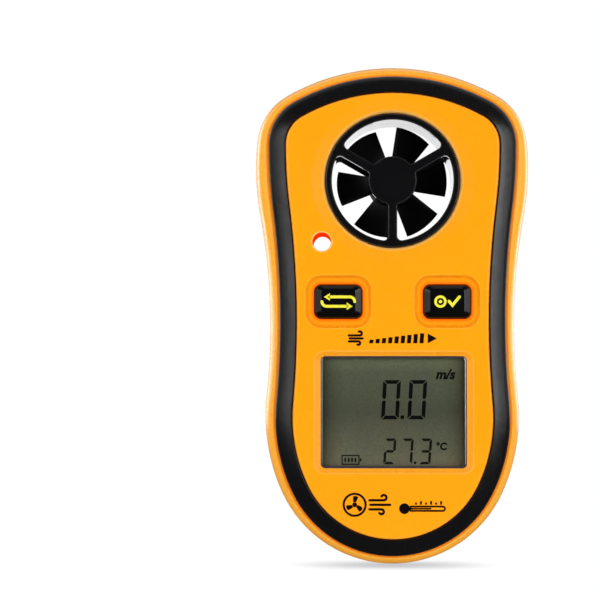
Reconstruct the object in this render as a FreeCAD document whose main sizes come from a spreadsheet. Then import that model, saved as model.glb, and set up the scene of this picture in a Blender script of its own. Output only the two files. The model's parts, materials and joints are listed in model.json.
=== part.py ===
import FreeCAD, Part
import math
import os
import Sketcher
from FreeCAD import Placement, Rotation, Vector

# Handheld weather meter: a waisted two-shell case with a rotating vane in a
# through duct at the top, a liquid-crystal display, two keys, a coin-cell
# compartment in the back and a rubber grip band let into each face.
# Frame: +Z up along the case, the face with the display looks along -Y,
# +X to the right of it, origin at the middle of the bottom end.
# The shells part at y = 0.

doc = FreeCAD.newDocument("WeatherMeter")

# ---------------------------------------------------------------- dimensions
# Millimetres and degrees. Endings: _x _y _z place, _w width along X, _h height
# along Z, _t thickness along Y, _r radius. Front depths are given unsigned.
DIMENSIONS = dict(
    # amounts shared by many features
    overlap=0.5, wall_tuck=0.4, outer_reach=1.0, skin=0.02,
    # case outline at the parting plane: top, then radii and sweeps of tangent arcs
    case_top=105.389,
    case_radius_a=45.005, case_radius_b=12.594, case_radius_c=57.217,
    case_radius_d=136.129, case_radius_e=39.470,
    case_sweep_a=29.834, case_sweep_b=54.569, case_sweep_c=15.673,
    case_sweep_d=16.258, case_sweep_e=30.560,
    # outer edge of the grip band
    band_top=102.943,
    band_radius_a=42.764, band_radius_b=10.351, band_radius_c=99.249,
    band_radius_d=192.151, band_radius_e=36.130,
    band_sweep_a=28.980, band_sweep_b=60.712, band_sweep_c=7.538,
    band_sweep_d=12.323, band_sweep_e=31.550,
    # shells and grip bands
    band_width=3.6, band_gap=0.06, ledge_depth=7.0, lip_width=0.55,
    front_face=9.8, rear_face=10.0, edge_round=0.55,
    band_low=0.70, band_drop=0.45, band_chamfer=0.28, band_cut_depth=6.0,
    # band crown: inset from the outer edge, share of the climb at that inset
    crown_in_a=0.13, crown_up_a=0.20, crown_in_b=0.42, crown_up_b=0.40,
    crown_in_c=0.90, crown_up_c=0.58, crown_in_d=1.50, crown_up_d=0.71,
    crown_in_e=2.40, crown_up_e=0.87, crown_in_f=3.30,
    wall=1.8, rim_wall=0.6, rim_cavity=5.6, island_wall=5.0,
    # vane duct and cages
    vane_z=80.9, front_bore_r=14.2, rear_bore_r=14.95, front_duct_wall_r=16.4,
    rear_duct_wall_r=16.6, front_dish_r=17.1, rear_dish_r=17.15, dish_depth=0.45,
    dish_lip=0.55, dish_step=0.5, dish_proud=0.002,
    front_cage_r=14.05, rear_cage_r=14.75, front_duct_r=12.75, rear_duct_r=12.85,
    cage_flange_r=15.0, cage_flange_t=1.2, flange_play=0.1,
    front_cage_y=9.55, rear_cage_y=9.35,
    spider_t=1.6, spider_lap=0.2, spider_edge=0.22, hub_r=5.05, strut_w=1.9,
    window_round=0.95, root_round=0.7,
    bush_boss_r=2.6, bush_r=1.4, bush_bore=0.53, bush_len=2.4,
    # rotor
    shaft_r=0.5, shaft_half=7.55, shaft_taper=0.02, shaft_point=0.1, shaft_taper_len=2.9,
    rotor_hub_r=5.1, rotor_hub_edge=0.5, rotor_tip_r=11.75, rotor_front=4.2, rotor_rear=3.8,
    blade_half=2.9, blade_t=0.8, blade_root_half=1.55, blade_tip_half=3.75,
    blade_phase=6.0, blade_inner=4.0, blade_outer=12.6,
    magnet_r=4.3, magnet_bore=2.1, magnet_t=1.6, magnet_play=0.05, magnet_sink=0.4,
    cup_extra=0.5, core_start_y=-1.0, core_proud=0.6, nose_proud=0.7,
    shaft_cut_half=8.0, trim_r=16.0, trim_half=6.0,
    # slots for the thermistor bead (front) and the sensor ribbon (rear), the sensor
    slot_h=5.0, slot_inset=1.0, bead_slot_w=2.4, bead_slot_near=2.8, bead_slot_far=5.2,
    case_ribbon_w=2.0, case_ribbon_near=7.0, case_ribbon_far=8.0,
    cage_ribbon_w=1.9, cage_ribbon_near=7.2, cage_ribbon_far=7.7,
    hall_w=3.0, hall_h=2.0, hall_drop=3.72, hall_y=6.3, ribbon_w=1.4, ribbon_t=0.25,
    bead_y=-4.0, bead_r=0.8, bead_drop=0.6, lead_r=0.15, lead_half_pitch=0.4,
    lead_start=0.85, lead_board_drop=1.3,
    # strap hole and pry recess
    strap_x=-14.85, strap_z=68.0, strap_r=1.93, strap_boss_r=3.4, strap_round=0.45,
    pry_half=5.6, pry_depth=0.3, pry_half_y=0.9, pry_below=-1.0, pry_mid=0.45, pry_end=0.92,
    # case screws
    screw_x=18.3, screw_z=91.0, screw_recess_r=1.95, screw_head_r=1.65,
    screw_head_t=1.2, screw_head_y=7.7, screw_r=1.0, screw_end=-3.6,
    screw_hole_r=1.05, screw_play=0.1, screw_boss_r=2.9, front_boss_less=0.3,
    front_pilot_depth=5.0, cross_w=0.5, cross_l=2.0, cross_d=0.7, head_gap=0.01,
    # keys
    key_x=11.4, key_z=55.45, key_w=9.9, key_h=7.0, key_corner=1.4,
    key_gap=0.12, key_face=10.1, key_shoulder_y=9.36, key_bevel_y=9.68, key_shoulder=0.2,
    key_bevel_w=1.35, key_bevel_h=0.85, key_top_less=0.5, key_crown=0.25,
    key_flange=1.1, key_flange_t=0.8, key_flange_gap=0.08, key_cap_sink=0.5,
    key_stem_r=1.6, key_stem_sink=0.3, key_stem_gap=0.1, key_cut_start=0.1,
    surround_w=13.7, surround_h=11.0, surround_corner=3.3, surround_depth=0.58,
    surround_slope=0.42, surround_proud=0.01,
    switch_w=6.0, switch_t=3.4, plunger_r=1.7, plunger_len=1.2, switch_corner=0.3,
    switch_play=0.08, switch_bore_y=0.9, plunger_foot=1.6,
    # display; openings in the front wall are cut to opening_end
    opening_end=7.0, lcd_x=0.2, lcd_z=32.3,
    window_w=30.6, window_h=23.5, window_corner=1.0, window_lap=0.05,
    window_rim_w=33.4, window_rim_h=25.6, window_rim_corner=2.2, window_slope=0.75,
    lens_w=32.6, lens_h=25.4, lens_corner=1.6, lens_corner_less=0.1, lens_t=1.0,
    lens_play=0.2, lens_seat=1.0, tape_t=0.15, tape_margin=0.4,
    glass_w=33.6, glass_h=27.0, glass_t=2.2, glass_y=7.45, glass_ledge=2.4, glass_lap=0.01,
    holder_w=36.2, holder_h=29.6, holder_corner=1.2, holder_sink=0.3,
    holder_trim_x=15.9, holder_trim_z=17.3, holder_trim_w=2.7, holder_trim_h=5.8,
    holder_trim_d=2.1, pocket_play=0.2, pocket_extra=0.05, pocket_corner=0.3,
    well_less_w=1.6, well_less_h=6.4, well_up=2.4,
    zebra_w=30.0, zebra_h=2.0, zebra_up=1.25, zebra_gap=0.02,
    # circuit board, its posts and screws
    pcb_y=1.9, pcb_t=1.0, pcb_inset=3.4, pcb_top=63.2, pcb_gap=0.03, pcb_trim=60.0,
    pcb_cut_end=1.0, post_r=1.9, post_gap=0.05, top_post_z=56.0, low_post_x=10.9,
    low_post_z=13.0, pcb_screw_r=0.8, pcb_hole_play=0.1, pcb_pilot_play=0.03,
    pcb_head_r=1.5, pcb_head_t=0.9, pcb_screw_end=6.0, pcb_pilot_extra=0.6,
    pcb_cross_w=0.4, pcb_cross_l=1.7, pcb_cross_d=0.55,
    # main chip and crystal on the rear of the board
    chip_x=-9.5, chip_z=53.2, chip_w=9.0, chip_corner=0.3, chip_standoff=0.15, chip_top=1.7,
    pins_w=10.4, pins_h=7.8, pins_t=0.35,
    crystal_x=8.5, crystal_z=50.5, crystal_standoff=1.05, crystal_r=1.0, crystal_len=6.2,
    # battery compartment
    door_z=36.0, door_half_w=13.3, door_half_h=16.2, door_end_r=11.6, door_gap=0.12,
    door_t=1.45, door_edge=0.22, door_seat=1.5, door_plate=1.3, door_plate_margin=1.3,
    door_plate_lap=0.1, ring_out=2.1, ring_w=0.4, ring_depth=0.3,
    cell_z=38.0, cell_r=10.0, cell_t=3.2, cell_y=4.6, tub_r=10.3, tub_wall=1.6,
    tub_floor=4.2, tub_floor_t=1.2,
    door_screw_z=22.7, door_recess_r=2.0, door_recess_d=0.9, door_head_r=1.6,
    door_head_t=0.75, door_screw_r=0.95, door_screw_play=0.08, door_screw_hole=1.0,
    door_boss_r=2.5, door_screw_len=6.0, door_cross_d=0.5, door_boss_sink=1.6,
    door_pilot_sink=2.2, mouth_round=0.2, nail_r=3.5, nail_z=20.9, nail_depth=0.9,
    rib_outer_r=7.5, rib_inner_r=6.7, rib_lap=0.1, rib_len=0.5,
    # battery contacts and their slots; slots run on past the tub floor
    negative_drop=7.5, negative_slot_w=2.4, negative_slot_h=0.8, slot_lead=0.1, slot_extra=0.2,
    positive_slot_w=1.2, positive_slot_h=4.6, positive_slot_out=0.1,
    plate_w=6.0, plate_h=14.0, plate_corner=0.8, plate_drop=0.6, plate_gap=0.04, plate_t=0.25,
    leg_w=2.0, leg_t=0.24, leg_lap=0.1, contact_gap=0.02,
    strip_w=0.22, strip_h=4.0, strip_out=0.2, strip_y=7.6,
    # unit-select switch behind a pin hole
    unit_x=6.4, unit_z=12.4, unit_hole_r=1.05, unit_switch_w=4.5, unit_switch_t=3.0,
    unit_plunger_r=0.9, unit_plunger_len=2.6, unit_play=0.06, unit_bore_y=0.8, unit_foot=1.4,
    sticker_x=0.4, sticker_z=10.2, sticker_r=3.65, sticker_t=0.1,
)

# lower rim of a shell: distance from the parting plane, outline moved outwards by
RIM_STATIONS = ((0.0, 0.0), (2.4, -0.12), (4.7, -0.48), (6.2, -1.02))

# small parts on the rear of the board: centre x, centre z, width, height, thickness
SMALL_PARTS = (
    (-3.2, 59.5, 2.0, 1.25, 0.6), (3.4, 59.8, 2.0, 1.25, 0.6),
    (3.6, 52.0, 1.6, 0.8, 0.5), (5.6, 48.2, 1.25, 2.0, 0.6),
    (-15.6, 45.6, 2.0, 1.25, 0.8), (14.2, 43.0, 1.25, 2.0, 0.8),
    (-13.8, 24.0, 3.2, 1.6, 1.2), (13.2, 24.5, 2.9, 1.6, 1.1),
    (-5.2, 17.0, 2.0, 1.25, 0.6), (1.0, 15.2, 1.6, 0.8, 0.5),
)

# turn direction of the tangent outline arcs: -1 is the concave waist
BENDS = (1, 1, 1, -1, 1)
MOUTH_LIMIT = 6.0       # a hole's rim is narrower than this
LEFT_RIGHT = (-1, 1)
FRONT, REAR = -1, 1     # growth towards -Y or +Y

sheet = doc.addObject("Spreadsheet::Sheet", "dims")
sheet.Label = "dims"
for row, (alias, number) in enumerate(DIMENSIONS.items(), start=1):
    sheet.set("A%d" % row, alias.replace("_", " "))
    sheet.set("B%d" % row, "%.4f" % number)
    sheet.setAlias("B%d" % row, alias)
doc.recompute()


class Quantity:
    """A sheet quantity: its value now, and the expression text that binds it.
    It must stand on the left of an operator."""

    def __init__(self, value, text=None):
        self.value = float(value)
        self.text = text or "%.6f" % self.value

    def __add__(self, other):
        other = quantity(other)
        return Quantity(self.value + other.value, "(%s + %s)" % (self.text, other.text))

    def __sub__(self, other):
        other = quantity(other)
        return Quantity(self.value - other.value, "(%s - (%s))" % (self.text, other.text))

    def __mul__(self, other):
        other = quantity(other)
        return Quantity(self.value * other.value, "(%s * %s)" % (self.text, other.text))

    def __truediv__(self, other):
        other = quantity(other)
        return Quantity(self.value / other.value, "(%s / %s)" % (self.text, other.text))

    def __neg__(self):
        return Quantity(-self.value, "(0 - (%s))" % self.text)


def quantity(value):
    return value if isinstance(value, Quantity) else Quantity(value)


class SheetReader:
    def __getattr__(self, alias):
        return Quantity(float(sheet.get(alias)), "dims." + alias)


dim = SheetReader()
pieces = []     # every object that is exported


# -------------------------------------------------------- bodies and sketches
def new_body(label):
    part = doc.addObject("PartDesign::Body", label)
    part.Label = label
    pieces.append(part)
    return part


def new_solids(label, solids):
    """One plain feature holding several separate solids."""
    made = doc.addObject("Part::Feature", label)
    made.Label = label
    made.Shape = Part.makeCompound(solids)
    pieces.append(made)


def drive(obj, path, amount):
    """Bind a property path to the sheet when the amount depends on it."""
    if "dims." in amount.text:
        obj.setExpression(path, amount.text)


def bind(obj, name, amount):
    amount = quantity(amount)
    setattr(obj, name, amount.value)
    drive(obj, name, amount)


def sketch(part, name, role, *base):
    """Sketch on an origin plane of the body, moved by base in the plane's frame."""
    profile = part.newObject("Sketcher::SketchObject", name)
    plane = next(item for item in part.Origin.OriginFeatures if item.Role == role)
    profile.AttachmentSupport = (plane, [""])
    profile.MapMode = "FlatFace"
    base = [quantity(amount) for amount in base]
    profile.AttachmentOffset = Placement(Vector(*[amount.value for amount in base]), Rotation())
    for axis, amount in zip("xyz", base):
        drive(profile, "AttachmentOffset.Base." + axis, amount)
    return profile


def on_xz(part, name, y, x=0, z=0):
    """Sketch facing -Y with its origin at (x, y, z)."""
    return sketch(part, name, "XZ_Plane", x, z, -quantity(y))


def on_yz(part, name, x=0, z=0):
    """Sketch in a plane of constant X; its x is +Y and its y is +Z."""
    return sketch(part, name, "YZ_Plane", 0, z, x)


def constrain(profile, amount, kind, *where):
    index = profile.addConstraint(Sketcher.Constraint(kind, *where, amount.value))
    drive(profile, "Constraints[%d]" % index, amount)


def add_line(profile, start, end):
    return profile.addGeometry(Part.LineSegment(start, end), False)


def add_arc(profile, x, y, radius, start, end):
    """Arc about (x, y), counter-clockwise between two angles in radians."""
    full = Part.Circle(Vector(x, y, 0), Vector(0, 0, 1), radius)
    return profile.addGeometry(Part.ArcOfCircle(full, start, end), False)


def circle(profile, radius):
    radius = quantity(radius)
    ring = Part.Circle(Vector(0, 0, 0), Vector(0, 0, 1), radius.value)
    index = profile.addGeometry(ring, False)
    profile.addConstraint(Sketcher.Constraint("Coincident", index, 3, -1, 1))
    constrain(profile, radius, "Radius", index)


def place_start(profile, line, x, y):
    """Hold the start of a line at (x, y) from the sketch origin."""
    for kind, amount, axis in (("DistanceX", x, -2), ("DistanceY", y, -1)):
        if abs(amount.value) < 1e-9:
            profile.addConstraint(Sketcher.Constraint("PointOnObject", line, 1, axis))
        elif amount.value > 0:
            constrain(profile, amount, kind, -1, 1, line, 1)
        else:
            constrain(profile, -amount, kind, line, 1, -1, 1)


def polygon(profile, points):
    """Closed polygon, every corner placed from the sketch origin by the sheet."""
    corners = [(quantity(x), quantity(y)) for x, y in points]
    spots = [Vector(x.value, y.value, 0) for x, y in corners]
    lines = [add_line(profile, start, end) for start, end in zip(spots, spots[1:] + spots[:1])]
    for line, following in zip(lines, lines[1:] + lines[:1]):
        profile.addConstraint(Sketcher.Constraint("Coincident", line, 2, following, 1))
    for line, (x, y) in zip(lines, corners):
        place_start(profile, line, x, y)


def rectangle(profile, width, height):
    x, y = quantity(width) / 2, quantity(height) / 2
    polygon(profile, [(-x, -y), (x, -y), (x, y), (-x, y)])


def rounded_rectangle(profile, width, height, corner):
    """Rectangle with rounded corners about the sketch origin."""
    corner = quantity(corner)
    half_width, half_height = quantity(width) / 2, quantity(height) / 2
    radius, right, up = corner.value, half_width.value, half_height.value
    x, y = right - radius, up - radius
    lines = [add_line(profile, Vector(*start, 0), Vector(*end, 0)) for start, end in (
        ((-x, up), (x, up)), ((right, y), (right, -y)),
        ((x, -up), (-x, -up)), ((-right, -y), (-right, y)))]
    arcs = [
        add_arc(profile, x, y, radius, 0, math.pi / 2),
        add_arc(profile, x, -y, radius, -math.pi / 2, 0),
        add_arc(profile, -x, -y, radius, math.pi, 1.5 * math.pi),
        add_arc(profile, -x, y, radius, math.pi / 2, math.pi),
    ]
    # an arc's end (2) meets the line before it, its start (1) the line after it
    for i in range(4):
        profile.addConstraint(Sketcher.Constraint("Tangent", lines[i], 2, arcs[i], 2))
        profile.addConstraint(Sketcher.Constraint("Tangent", arcs[i], 1, lines[(i + 1) % 4], 1))
    for kind, i in (("Horizontal", 0), ("Horizontal", 2), ("Vertical", 1), ("Vertical", 3)):
        profile.addConstraint(Sketcher.Constraint(kind, lines[i]))
    for arc in arcs[1:]:
        profile.addConstraint(Sketcher.Constraint("Equal", arcs[0], arc))
    constrain(profile, corner, "Radius", arcs[0])
    constrain(profile, half_width, "DistanceX", -1, 1, lines[1], 1)
    constrain(profile, half_width, "DistanceX", lines[3], 1, -1, 1)
    constrain(profile, half_height, "DistanceY", -1, 1, lines[0], 1)
    constrain(profile, half_height, "DistanceY", lines[2], 1, -1, 1)


def oval(profile, margin):
    """Upright four-centre oval: the battery door outline moved outwards by margin.
    Tangent end arcs and flatter side arcs between them."""
    margin = quantity(margin)
    end_radius = dim.door_end_r + margin
    rise = dim.door_half_h - dim.door_end_r
    run = dim.door_half_w - dim.door_end_r
    shift = (rise * rise - run * run) / (run * 2)
    side_radius = dim.door_half_w + margin + shift
    turn = math.atan2(rise.value, shift.value)
    right = add_arc(profile, -shift.value, 0, side_radius.value, -turn, turn)
    upper = add_arc(profile, 0, rise.value, end_radius.value, turn, math.pi - turn)
    left = add_arc(profile, shift.value, 0, side_radius.value, math.pi - turn, math.pi + turn)
    lower = add_arc(profile, 0, -rise.value, end_radius.value,
                    math.pi + turn, 2 * math.pi - turn)
    for arc, following in ((right, upper), (upper, left), (left, lower), (lower, right)):
        profile.addConstraint(Sketcher.Constraint("Tangent", arc, 2, following, 1))
    profile.addConstraint(Sketcher.Constraint("Equal", right, left))
    profile.addConstraint(Sketcher.Constraint("Equal", upper, lower))
    profile.addConstraint(Sketcher.Constraint("PointOnObject", upper, 3, -2))
    profile.addConstraint(Sketcher.Constraint("Symmetric", upper, 3, lower, 3, -1, 1))
    constrain(profile, rise, "DistanceY", -1, 1, upper, 3)
    constrain(profile, end_radius, "Radius", upper)
    constrain(profile, side_radius, "Radius", right)


def half_outline(top, radii, sweeps, margin):
    """Right half of an outline: six tangent arcs from the top centre down to
    the bottom centre, moved outwards by margin, as (start, middle, end).
    The radius of the last arc is the one that closes on x = 0."""
    x, z, heading = 0.0, top + margin, 0.0
    arcs = []
    for radius, sweep, bend in zip(radii, sweeps, BENDS):
        reach = (radius + margin * bend) * bend
        angle = math.radians(heading)
        center_x, center_z = x - math.sin(angle) * reach, z - math.cos(angle) * reach
        points = [(x, z)]
        for share in (0.5, 1.0):
            angle = math.radians(heading + sweep * bend * share)
            points.append((center_x + math.sin(angle) * reach,
                           center_z + math.cos(angle) * reach))
        arcs.append(points)
        x, z = points[-1]
        heading += sweep * bend
    angle = math.radians(heading)
    radius = x / math.sin(angle)
    center_z = z - math.cos(angle) * radius
    middle = math.radians((heading + 180.0) / 2)
    arcs.append([(x, z), (math.sin(middle) * radius, center_z + math.cos(middle) * radius),
                 (0.0, center_z - radius)])
    return arcs


def outline(part, name, y, kind, margin):
    """Sketch at y of the closed outline of twelve arcs; kind is case or band."""
    profile = on_xz(part, name, y)
    top = getattr(dim, kind + "_top").value
    radii = [getattr(dim, kind + "_radius_" + key).value for key in "abcde"]
    sweeps = [getattr(dim, kind + "_sweep_" + key).value for key in "abcde"]
    right = half_outline(top, radii, sweeps, quantity(margin).value)
    left = [[(-x, z) for x, z in reversed(points)] for points in reversed(right)]
    for points in right + left:
        profile.addGeometry(Part.Arc(*[Vector(x, z, 0) for x, z in points]), False)
    return profile


def round_sketch(part, name, y, place, *radii):
    """Concentric circles about place, given as (x, z)."""
    profile = on_xz(part, name, y, *place)
    for radius in radii:
        circle(profile, radius)
    return profile


def rounded_sketch(part, name, y, place, width, height, corner):
    profile = on_xz(part, name, y, *place)
    rounded_rectangle(profile, width, height, corner)
    return profile


def oval_sketch(part, name, y, *margins):
    profile = on_xz(part, name, y, 0, dim.door_z)
    for margin in margins:
        oval(profile, margin)
    return profile


# ------------------------------------------------------------ solid features
def feature(part, kind, name, profile):
    made = part.newObject("PartDesign::" + kind, name)
    made.Profile = profile
    part.Tip = made
    return made


def pad(part, name, profile, length, way):
    """Grow a sketch that faces -Y towards FRONT or REAR."""
    made = feature(part, "Pad", name, profile)
    bind(made, "Length", length)
    made.Reversed = way > 0


def cut(part, name, profile, length, way):
    """Pocket a sketch that faces -Y towards FRONT or REAR."""
    made = feature(part, "Pocket", name, profile)
    bind(made, "Length", length)
    made.Reversed = way < 0


def between(operation, part, name, profile, start, end):
    """Pad or cut a profile drawn at y = start as far as y = end."""
    start, end = quantity(start), quantity(end)
    way = REAR if end.value > start.value else FRONT
    operation(part, name, profile, (end - start) * way, way)


def cylinder(operation, part, name, radius, place, start, end):
    profile = round_sketch(part, name + "_sketch", start, place, radius)
    between(operation, part, name, profile, start, end)


def box(operation, part, name, size, place, start, end):
    """Block along Y; size is (width, height, corner radius), 0 for square corners."""
    width, height, corner = size
    profile = on_xz(part, name + "_sketch", start, *place)
    if quantity(corner).value > 0:
        rounded_rectangle(profile, width, height, corner)
    else:
        rectangle(profile, width, height)
    between(operation, part, name, profile, start, end)


def spin(part, name, profile, kind="Revolution"):
    made = feature(part, kind, name, profile)
    made.ReferenceAxis = (profile, ["H_Axis"])
    made.Angle = 360.0


def revolve(part, name, points, z, kind="Revolution"):
    """Turn (y, radius) points about the line x = 0 at height z, parallel to Y."""
    profile = on_yz(part, name + "_profile", 0, z)
    polygon(profile, points)
    spin(part, name, profile, kind)


def loft(part, name, sections, subtract=False, ruled=True):
    made = feature(part, "SubtractiveLoft" if subtract else "AdditiveLoft", name, sections[0])
    made.Sections = sections[1:]
    made.Ruled = ruled
    return made


def flat_at(y):
    """Test for edges that lie wholly in the plane of that y."""
    def test(edge):
        bounds = edge.BoundBox
        return abs(bounds.YMin - y.value) < 1e-4 and abs(bounds.YMax - y.value) < 1e-4
    return test


def mouth_at(y, x, z):
    """Test for the rim of a small round hole about (x, z) in the plane of y."""
    def test(edge):
        bounds = edge.BoundBox
        return (flat_at(y)(edge) and bounds.XLength < MOUTH_LIMIT
                and abs(bounds.Center.x - quantity(x).value) < 0.01
                and abs(bounds.Center.z - quantity(z).value) < 0.01)
    return test


def round_edges(part, name, test, radius):
    doc.recompute()
    base = part.Tip
    names = ["Edge%d" % i for i, edge in enumerate(base.Shape.Edges, start=1) if test(edge)]
    if not names:
        raise RuntimeError("no edges for " + name)
    made = part.newObject("PartDesign::Fillet", name)
    made.Base = (base, names)
    bind(made, "Radius", radius)
    part.Tip = made
    doc.recompute()


# ------------------------------------------------------------- shared places
vane = (0, dim.vane_z)
lcd = (dim.lcd_x, dim.lcd_z)
cell = (0, dim.cell_z)
strap = (dim.strap_x, dim.strap_z)
door_screw = (0, dim.door_screw_z)
unit = (dim.unit_x, dim.unit_z)
board_posts = ((0, dim.top_post_z), (dim.low_post_x, dim.low_post_z),
               (-dim.low_post_x, dim.low_post_z))
front_inside = -(dim.front_face - dim.wall)
rear_inside = dim.rear_face - dim.wall
board_front = -dim.pcb_y
board_back = -(dim.pcb_y - dim.pcb_t)


# -------------------------------------------------------------- the two shells
def shell(label, way, face):
    """Outer form of one shell: a rounded rim from the parting plane to the
    ledge, then the raised island; hollowed in two steps."""
    case = new_body(label)
    ledge = dim.ledge_depth
    sections = [outline(case, "rim_section_%d" % i, y * way, "case", margin)
                for i, (y, margin) in enumerate(RIM_STATIONS)]
    sections.append(outline(case, "rim_section_4", ledge * way, "band", dim.lip_width))
    loft(case, "rim", sections, ruled=False)
    profile = outline(case, "island_sketch", (ledge - dim.overlap) * way, "band",
                      -(dim.band_width + dim.band_gap))
    pad(case, "island", profile, face - ledge + dim.overlap, way)
    round_edges(case, "island_edge", flat_at(face * way), dim.edge_round)
    # hollow: wide below the ledge, narrower under the island
    profile = outline(case, "rim_cavity_sketch", 0, "band", -dim.rim_wall)
    cut(case, "rim_cavity_cut", profile, dim.rim_cavity, way)
    profile = outline(case, "island_cavity_sketch", 0, "band", -dim.island_wall)
    cut(case, "island_cavity_cut", profile, face - dim.wall, way)
    return case


def shell_duct(case, way, face, bore, wall_radius, dish_radius):
    """Walls round the duct and strap hole, the duct bore and its shallow outer dish."""
    depth = (face - dim.wall + dim.wall_tuck) * way
    cylinder(pad, case, "duct_wall", wall_radius, vane, 0, depth)
    cylinder(pad, case, "strap_wall", dim.strap_boss_r, strap, 0, depth)
    start = -(dim.overlap * way)
    beyond = (face + dim.outer_reach) * way
    revolve(case, "duct_bore", [
        (start, 0), (start, bore),
        ((face - dim.dish_depth - dim.dish_step) * way, bore),
        ((face - dim.dish_depth) * way, bore + dim.dish_lip),
        ((face + dim.dish_proud) * way, dish_radius),
        (beyond, dish_radius), (beyond, 0)], dim.vane_z, "Groove")


def shell_finish(case, way, face):
    """Strap hole with rounded mouth and the pry recess at the bottom end."""
    cylinder(cut, case, "strap_hole", dim.strap_r, strap, 0, (face + dim.outer_reach) * way)
    round_edges(case, "strap_mouth", mouth_at(face * way, *strap), dim.strap_round)
    # a thin sliver taken off the bottom arc beside the parting plane
    half = dim.pry_half
    profile = on_xz(case, "pry_sketch", 0)
    polygon(profile, [(-half, dim.pry_below), (half, dim.pry_below), (half, dim.pry_end),
                      (half * 0.5, dim.pry_mid), (0, dim.pry_depth),
                      (-(half * 0.5), dim.pry_mid), (-half, dim.pry_end)])
    cut(case, "pry_recess", profile, dim.pry_half_y, way)


def bead_slot(part, radius_z):
    """Slot that lets the thermistor bead into the duct."""
    box(cut, part, "bead_slot", (dim.bead_slot_w, dim.slot_h, 0), (0, radius_z),
        -dim.bead_slot_near, -dim.bead_slot_far)


def display_window(case):
    """Sloped rim outside, clear opening, lens seat inside."""
    face = dim.front_face
    foot = face - dim.window_slope
    opening = (dim.window_w, dim.window_h, dim.window_corner)
    outer = rounded_sketch(case, "window_rim_outer", -(face + dim.skin), lcd,
                           dim.window_rim_w, dim.window_rim_h, dim.window_rim_corner)
    inner = rounded_sketch(case, "window_rim_inner", -foot, lcd, *opening)
    loft(case, "window_rim", [outer, inner], subtract=True)
    box(cut, case, "window", opening, lcd, -(foot + dim.window_lap), -dim.opening_end)
    box(cut, case, "lens_seat",
        (dim.lens_w + dim.lens_play, dim.lens_h + dim.lens_play, dim.lens_corner),
        lcd, -(face - dim.lens_seat), -dim.opening_end)


def key_surround(case, i, side):
    """Sloped recess round one key, and the opening for the key."""
    place = (dim.key_x * side, dim.key_z)
    slope = dim.surround_slope
    outer = rounded_sketch(case, "surround_outer_%d" % i,
                           -(dim.front_face + dim.surround_proud), place,
                           dim.surround_w, dim.surround_h, dim.surround_corner)
    inner = rounded_sketch(case, "surround_inner_%d" % i,
                           -(dim.front_face - dim.surround_depth), place,
                           dim.surround_w - slope * 2, dim.surround_h - slope * 2,
                           dim.surround_corner - slope)
    loft(case, "surround_%d" % i, [outer, inner], subtract=True)
    gap = dim.key_gap
    box(cut, case, "key_opening_%d" % i,
        (dim.key_w + gap * 2, dim.key_h + gap * 2, dim.key_corner + gap),
        place, -(dim.front_face - dim.key_cut_start), -dim.opening_end)


def front_case():
    case = shell("front_case", FRONT, dim.front_face)
    shell_duct(case, FRONT, dim.front_face, dim.front_bore_r, dim.front_duct_wall_r,
               dim.front_dish_r)
    cylinder(cut, case, "cage_flange_seat", dim.cage_flange_r + dim.flange_play, vane,
             0, -(dim.cage_flange_t + dim.flange_play))
    post_end = front_inside - dim.wall_tuck
    for i, side in enumerate(LEFT_RIGHT):
        place = (dim.screw_x * side, dim.screw_z)
        cylinder(pad, case, "screw_post_%d" % i, dim.screw_boss_r - dim.front_boss_less,
                 place, 0, post_end)
        cylinder(cut, case, "screw_pilot_%d" % i, dim.screw_hole_r, place,
                 0, -dim.front_pilot_depth)
    for i, place in enumerate(board_posts):
        cylinder(pad, case, "board_post_%d" % i, dim.post_r, place,
                 post_end, -(dim.pcb_y + dim.post_gap))
        cylinder(cut, case, "board_pilot_%d" % i, dim.pcb_screw_r + dim.pcb_pilot_play, place,
                 -(dim.pcb_y - dim.overlap), -(dim.pcb_screw_end + dim.pcb_pilot_extra))
    display_window(case)
    for i, side in enumerate(LEFT_RIGHT):
        key_surround(case, i, side)
    bead_slot(case, dim.vane_z - dim.front_duct_wall_r + dim.slot_inset)
    shell_finish(case, FRONT, dim.front_face)


def battery_bay(case):
    """Door seat, cell tub, screw post, nail notch and ring groove in the rear shell."""
    face = dim.rear_face
    outside = face + dim.overlap
    floor_back = dim.tub_floor - dim.tub_floor_t
    profile = oval_sketch(case, "door_plate_sketch", rear_inside + dim.door_plate_lap,
                          dim.door_plate_margin)
    pad(case, "door_plate", profile, dim.door_plate + dim.door_plate_lap, FRONT)
    cylinder(pad, case, "tub_wall", dim.tub_r + dim.tub_wall, cell, rear_inside, floor_back)
    cylinder(pad, case, "door_screw_post", dim.door_boss_r, door_screw,
             rear_inside, dim.tub_floor - dim.door_boss_sink)
    cylinder(cut, case, "nail_notch", dim.nail_r, (0, dim.nail_z), outside, face - dim.nail_depth)
    profile = oval_sketch(case, "door_seat_sketch", outside, dim.door_gap)
    cut(case, "door_seat", profile, dim.door_seat + dim.overlap, FRONT)
    cylinder(cut, case, "tub", dim.tub_r, cell, face, dim.tub_floor)
    cylinder(cut, case, "door_screw_pilot", dim.door_screw_hole, door_screw,
             face, dim.tub_floor - dim.door_pilot_sink)
    profile = oval_sketch(case, "ring_groove_sketch", outside,
                          dim.ring_out, dim.ring_out - dim.ring_w)
    cut(case, "ring_groove", profile, dim.ring_depth + dim.overlap, FRONT)
    # slots for the battery contacts: one through the tub floor, one beside the cell
    box(cut, case, "negative_slot", (dim.negative_slot_w, dim.negative_slot_h, 0),
        (0, dim.cell_z - dim.negative_drop),
        dim.tub_floor + dim.slot_lead, floor_back - dim.slot_extra)
    box(cut, case, "positive_slot", (dim.positive_slot_w, dim.positive_slot_h, 0),
        (dim.tub_r + dim.positive_slot_out, dim.cell_z),
        face - dim.door_seat, floor_back - dim.slot_extra)


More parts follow.
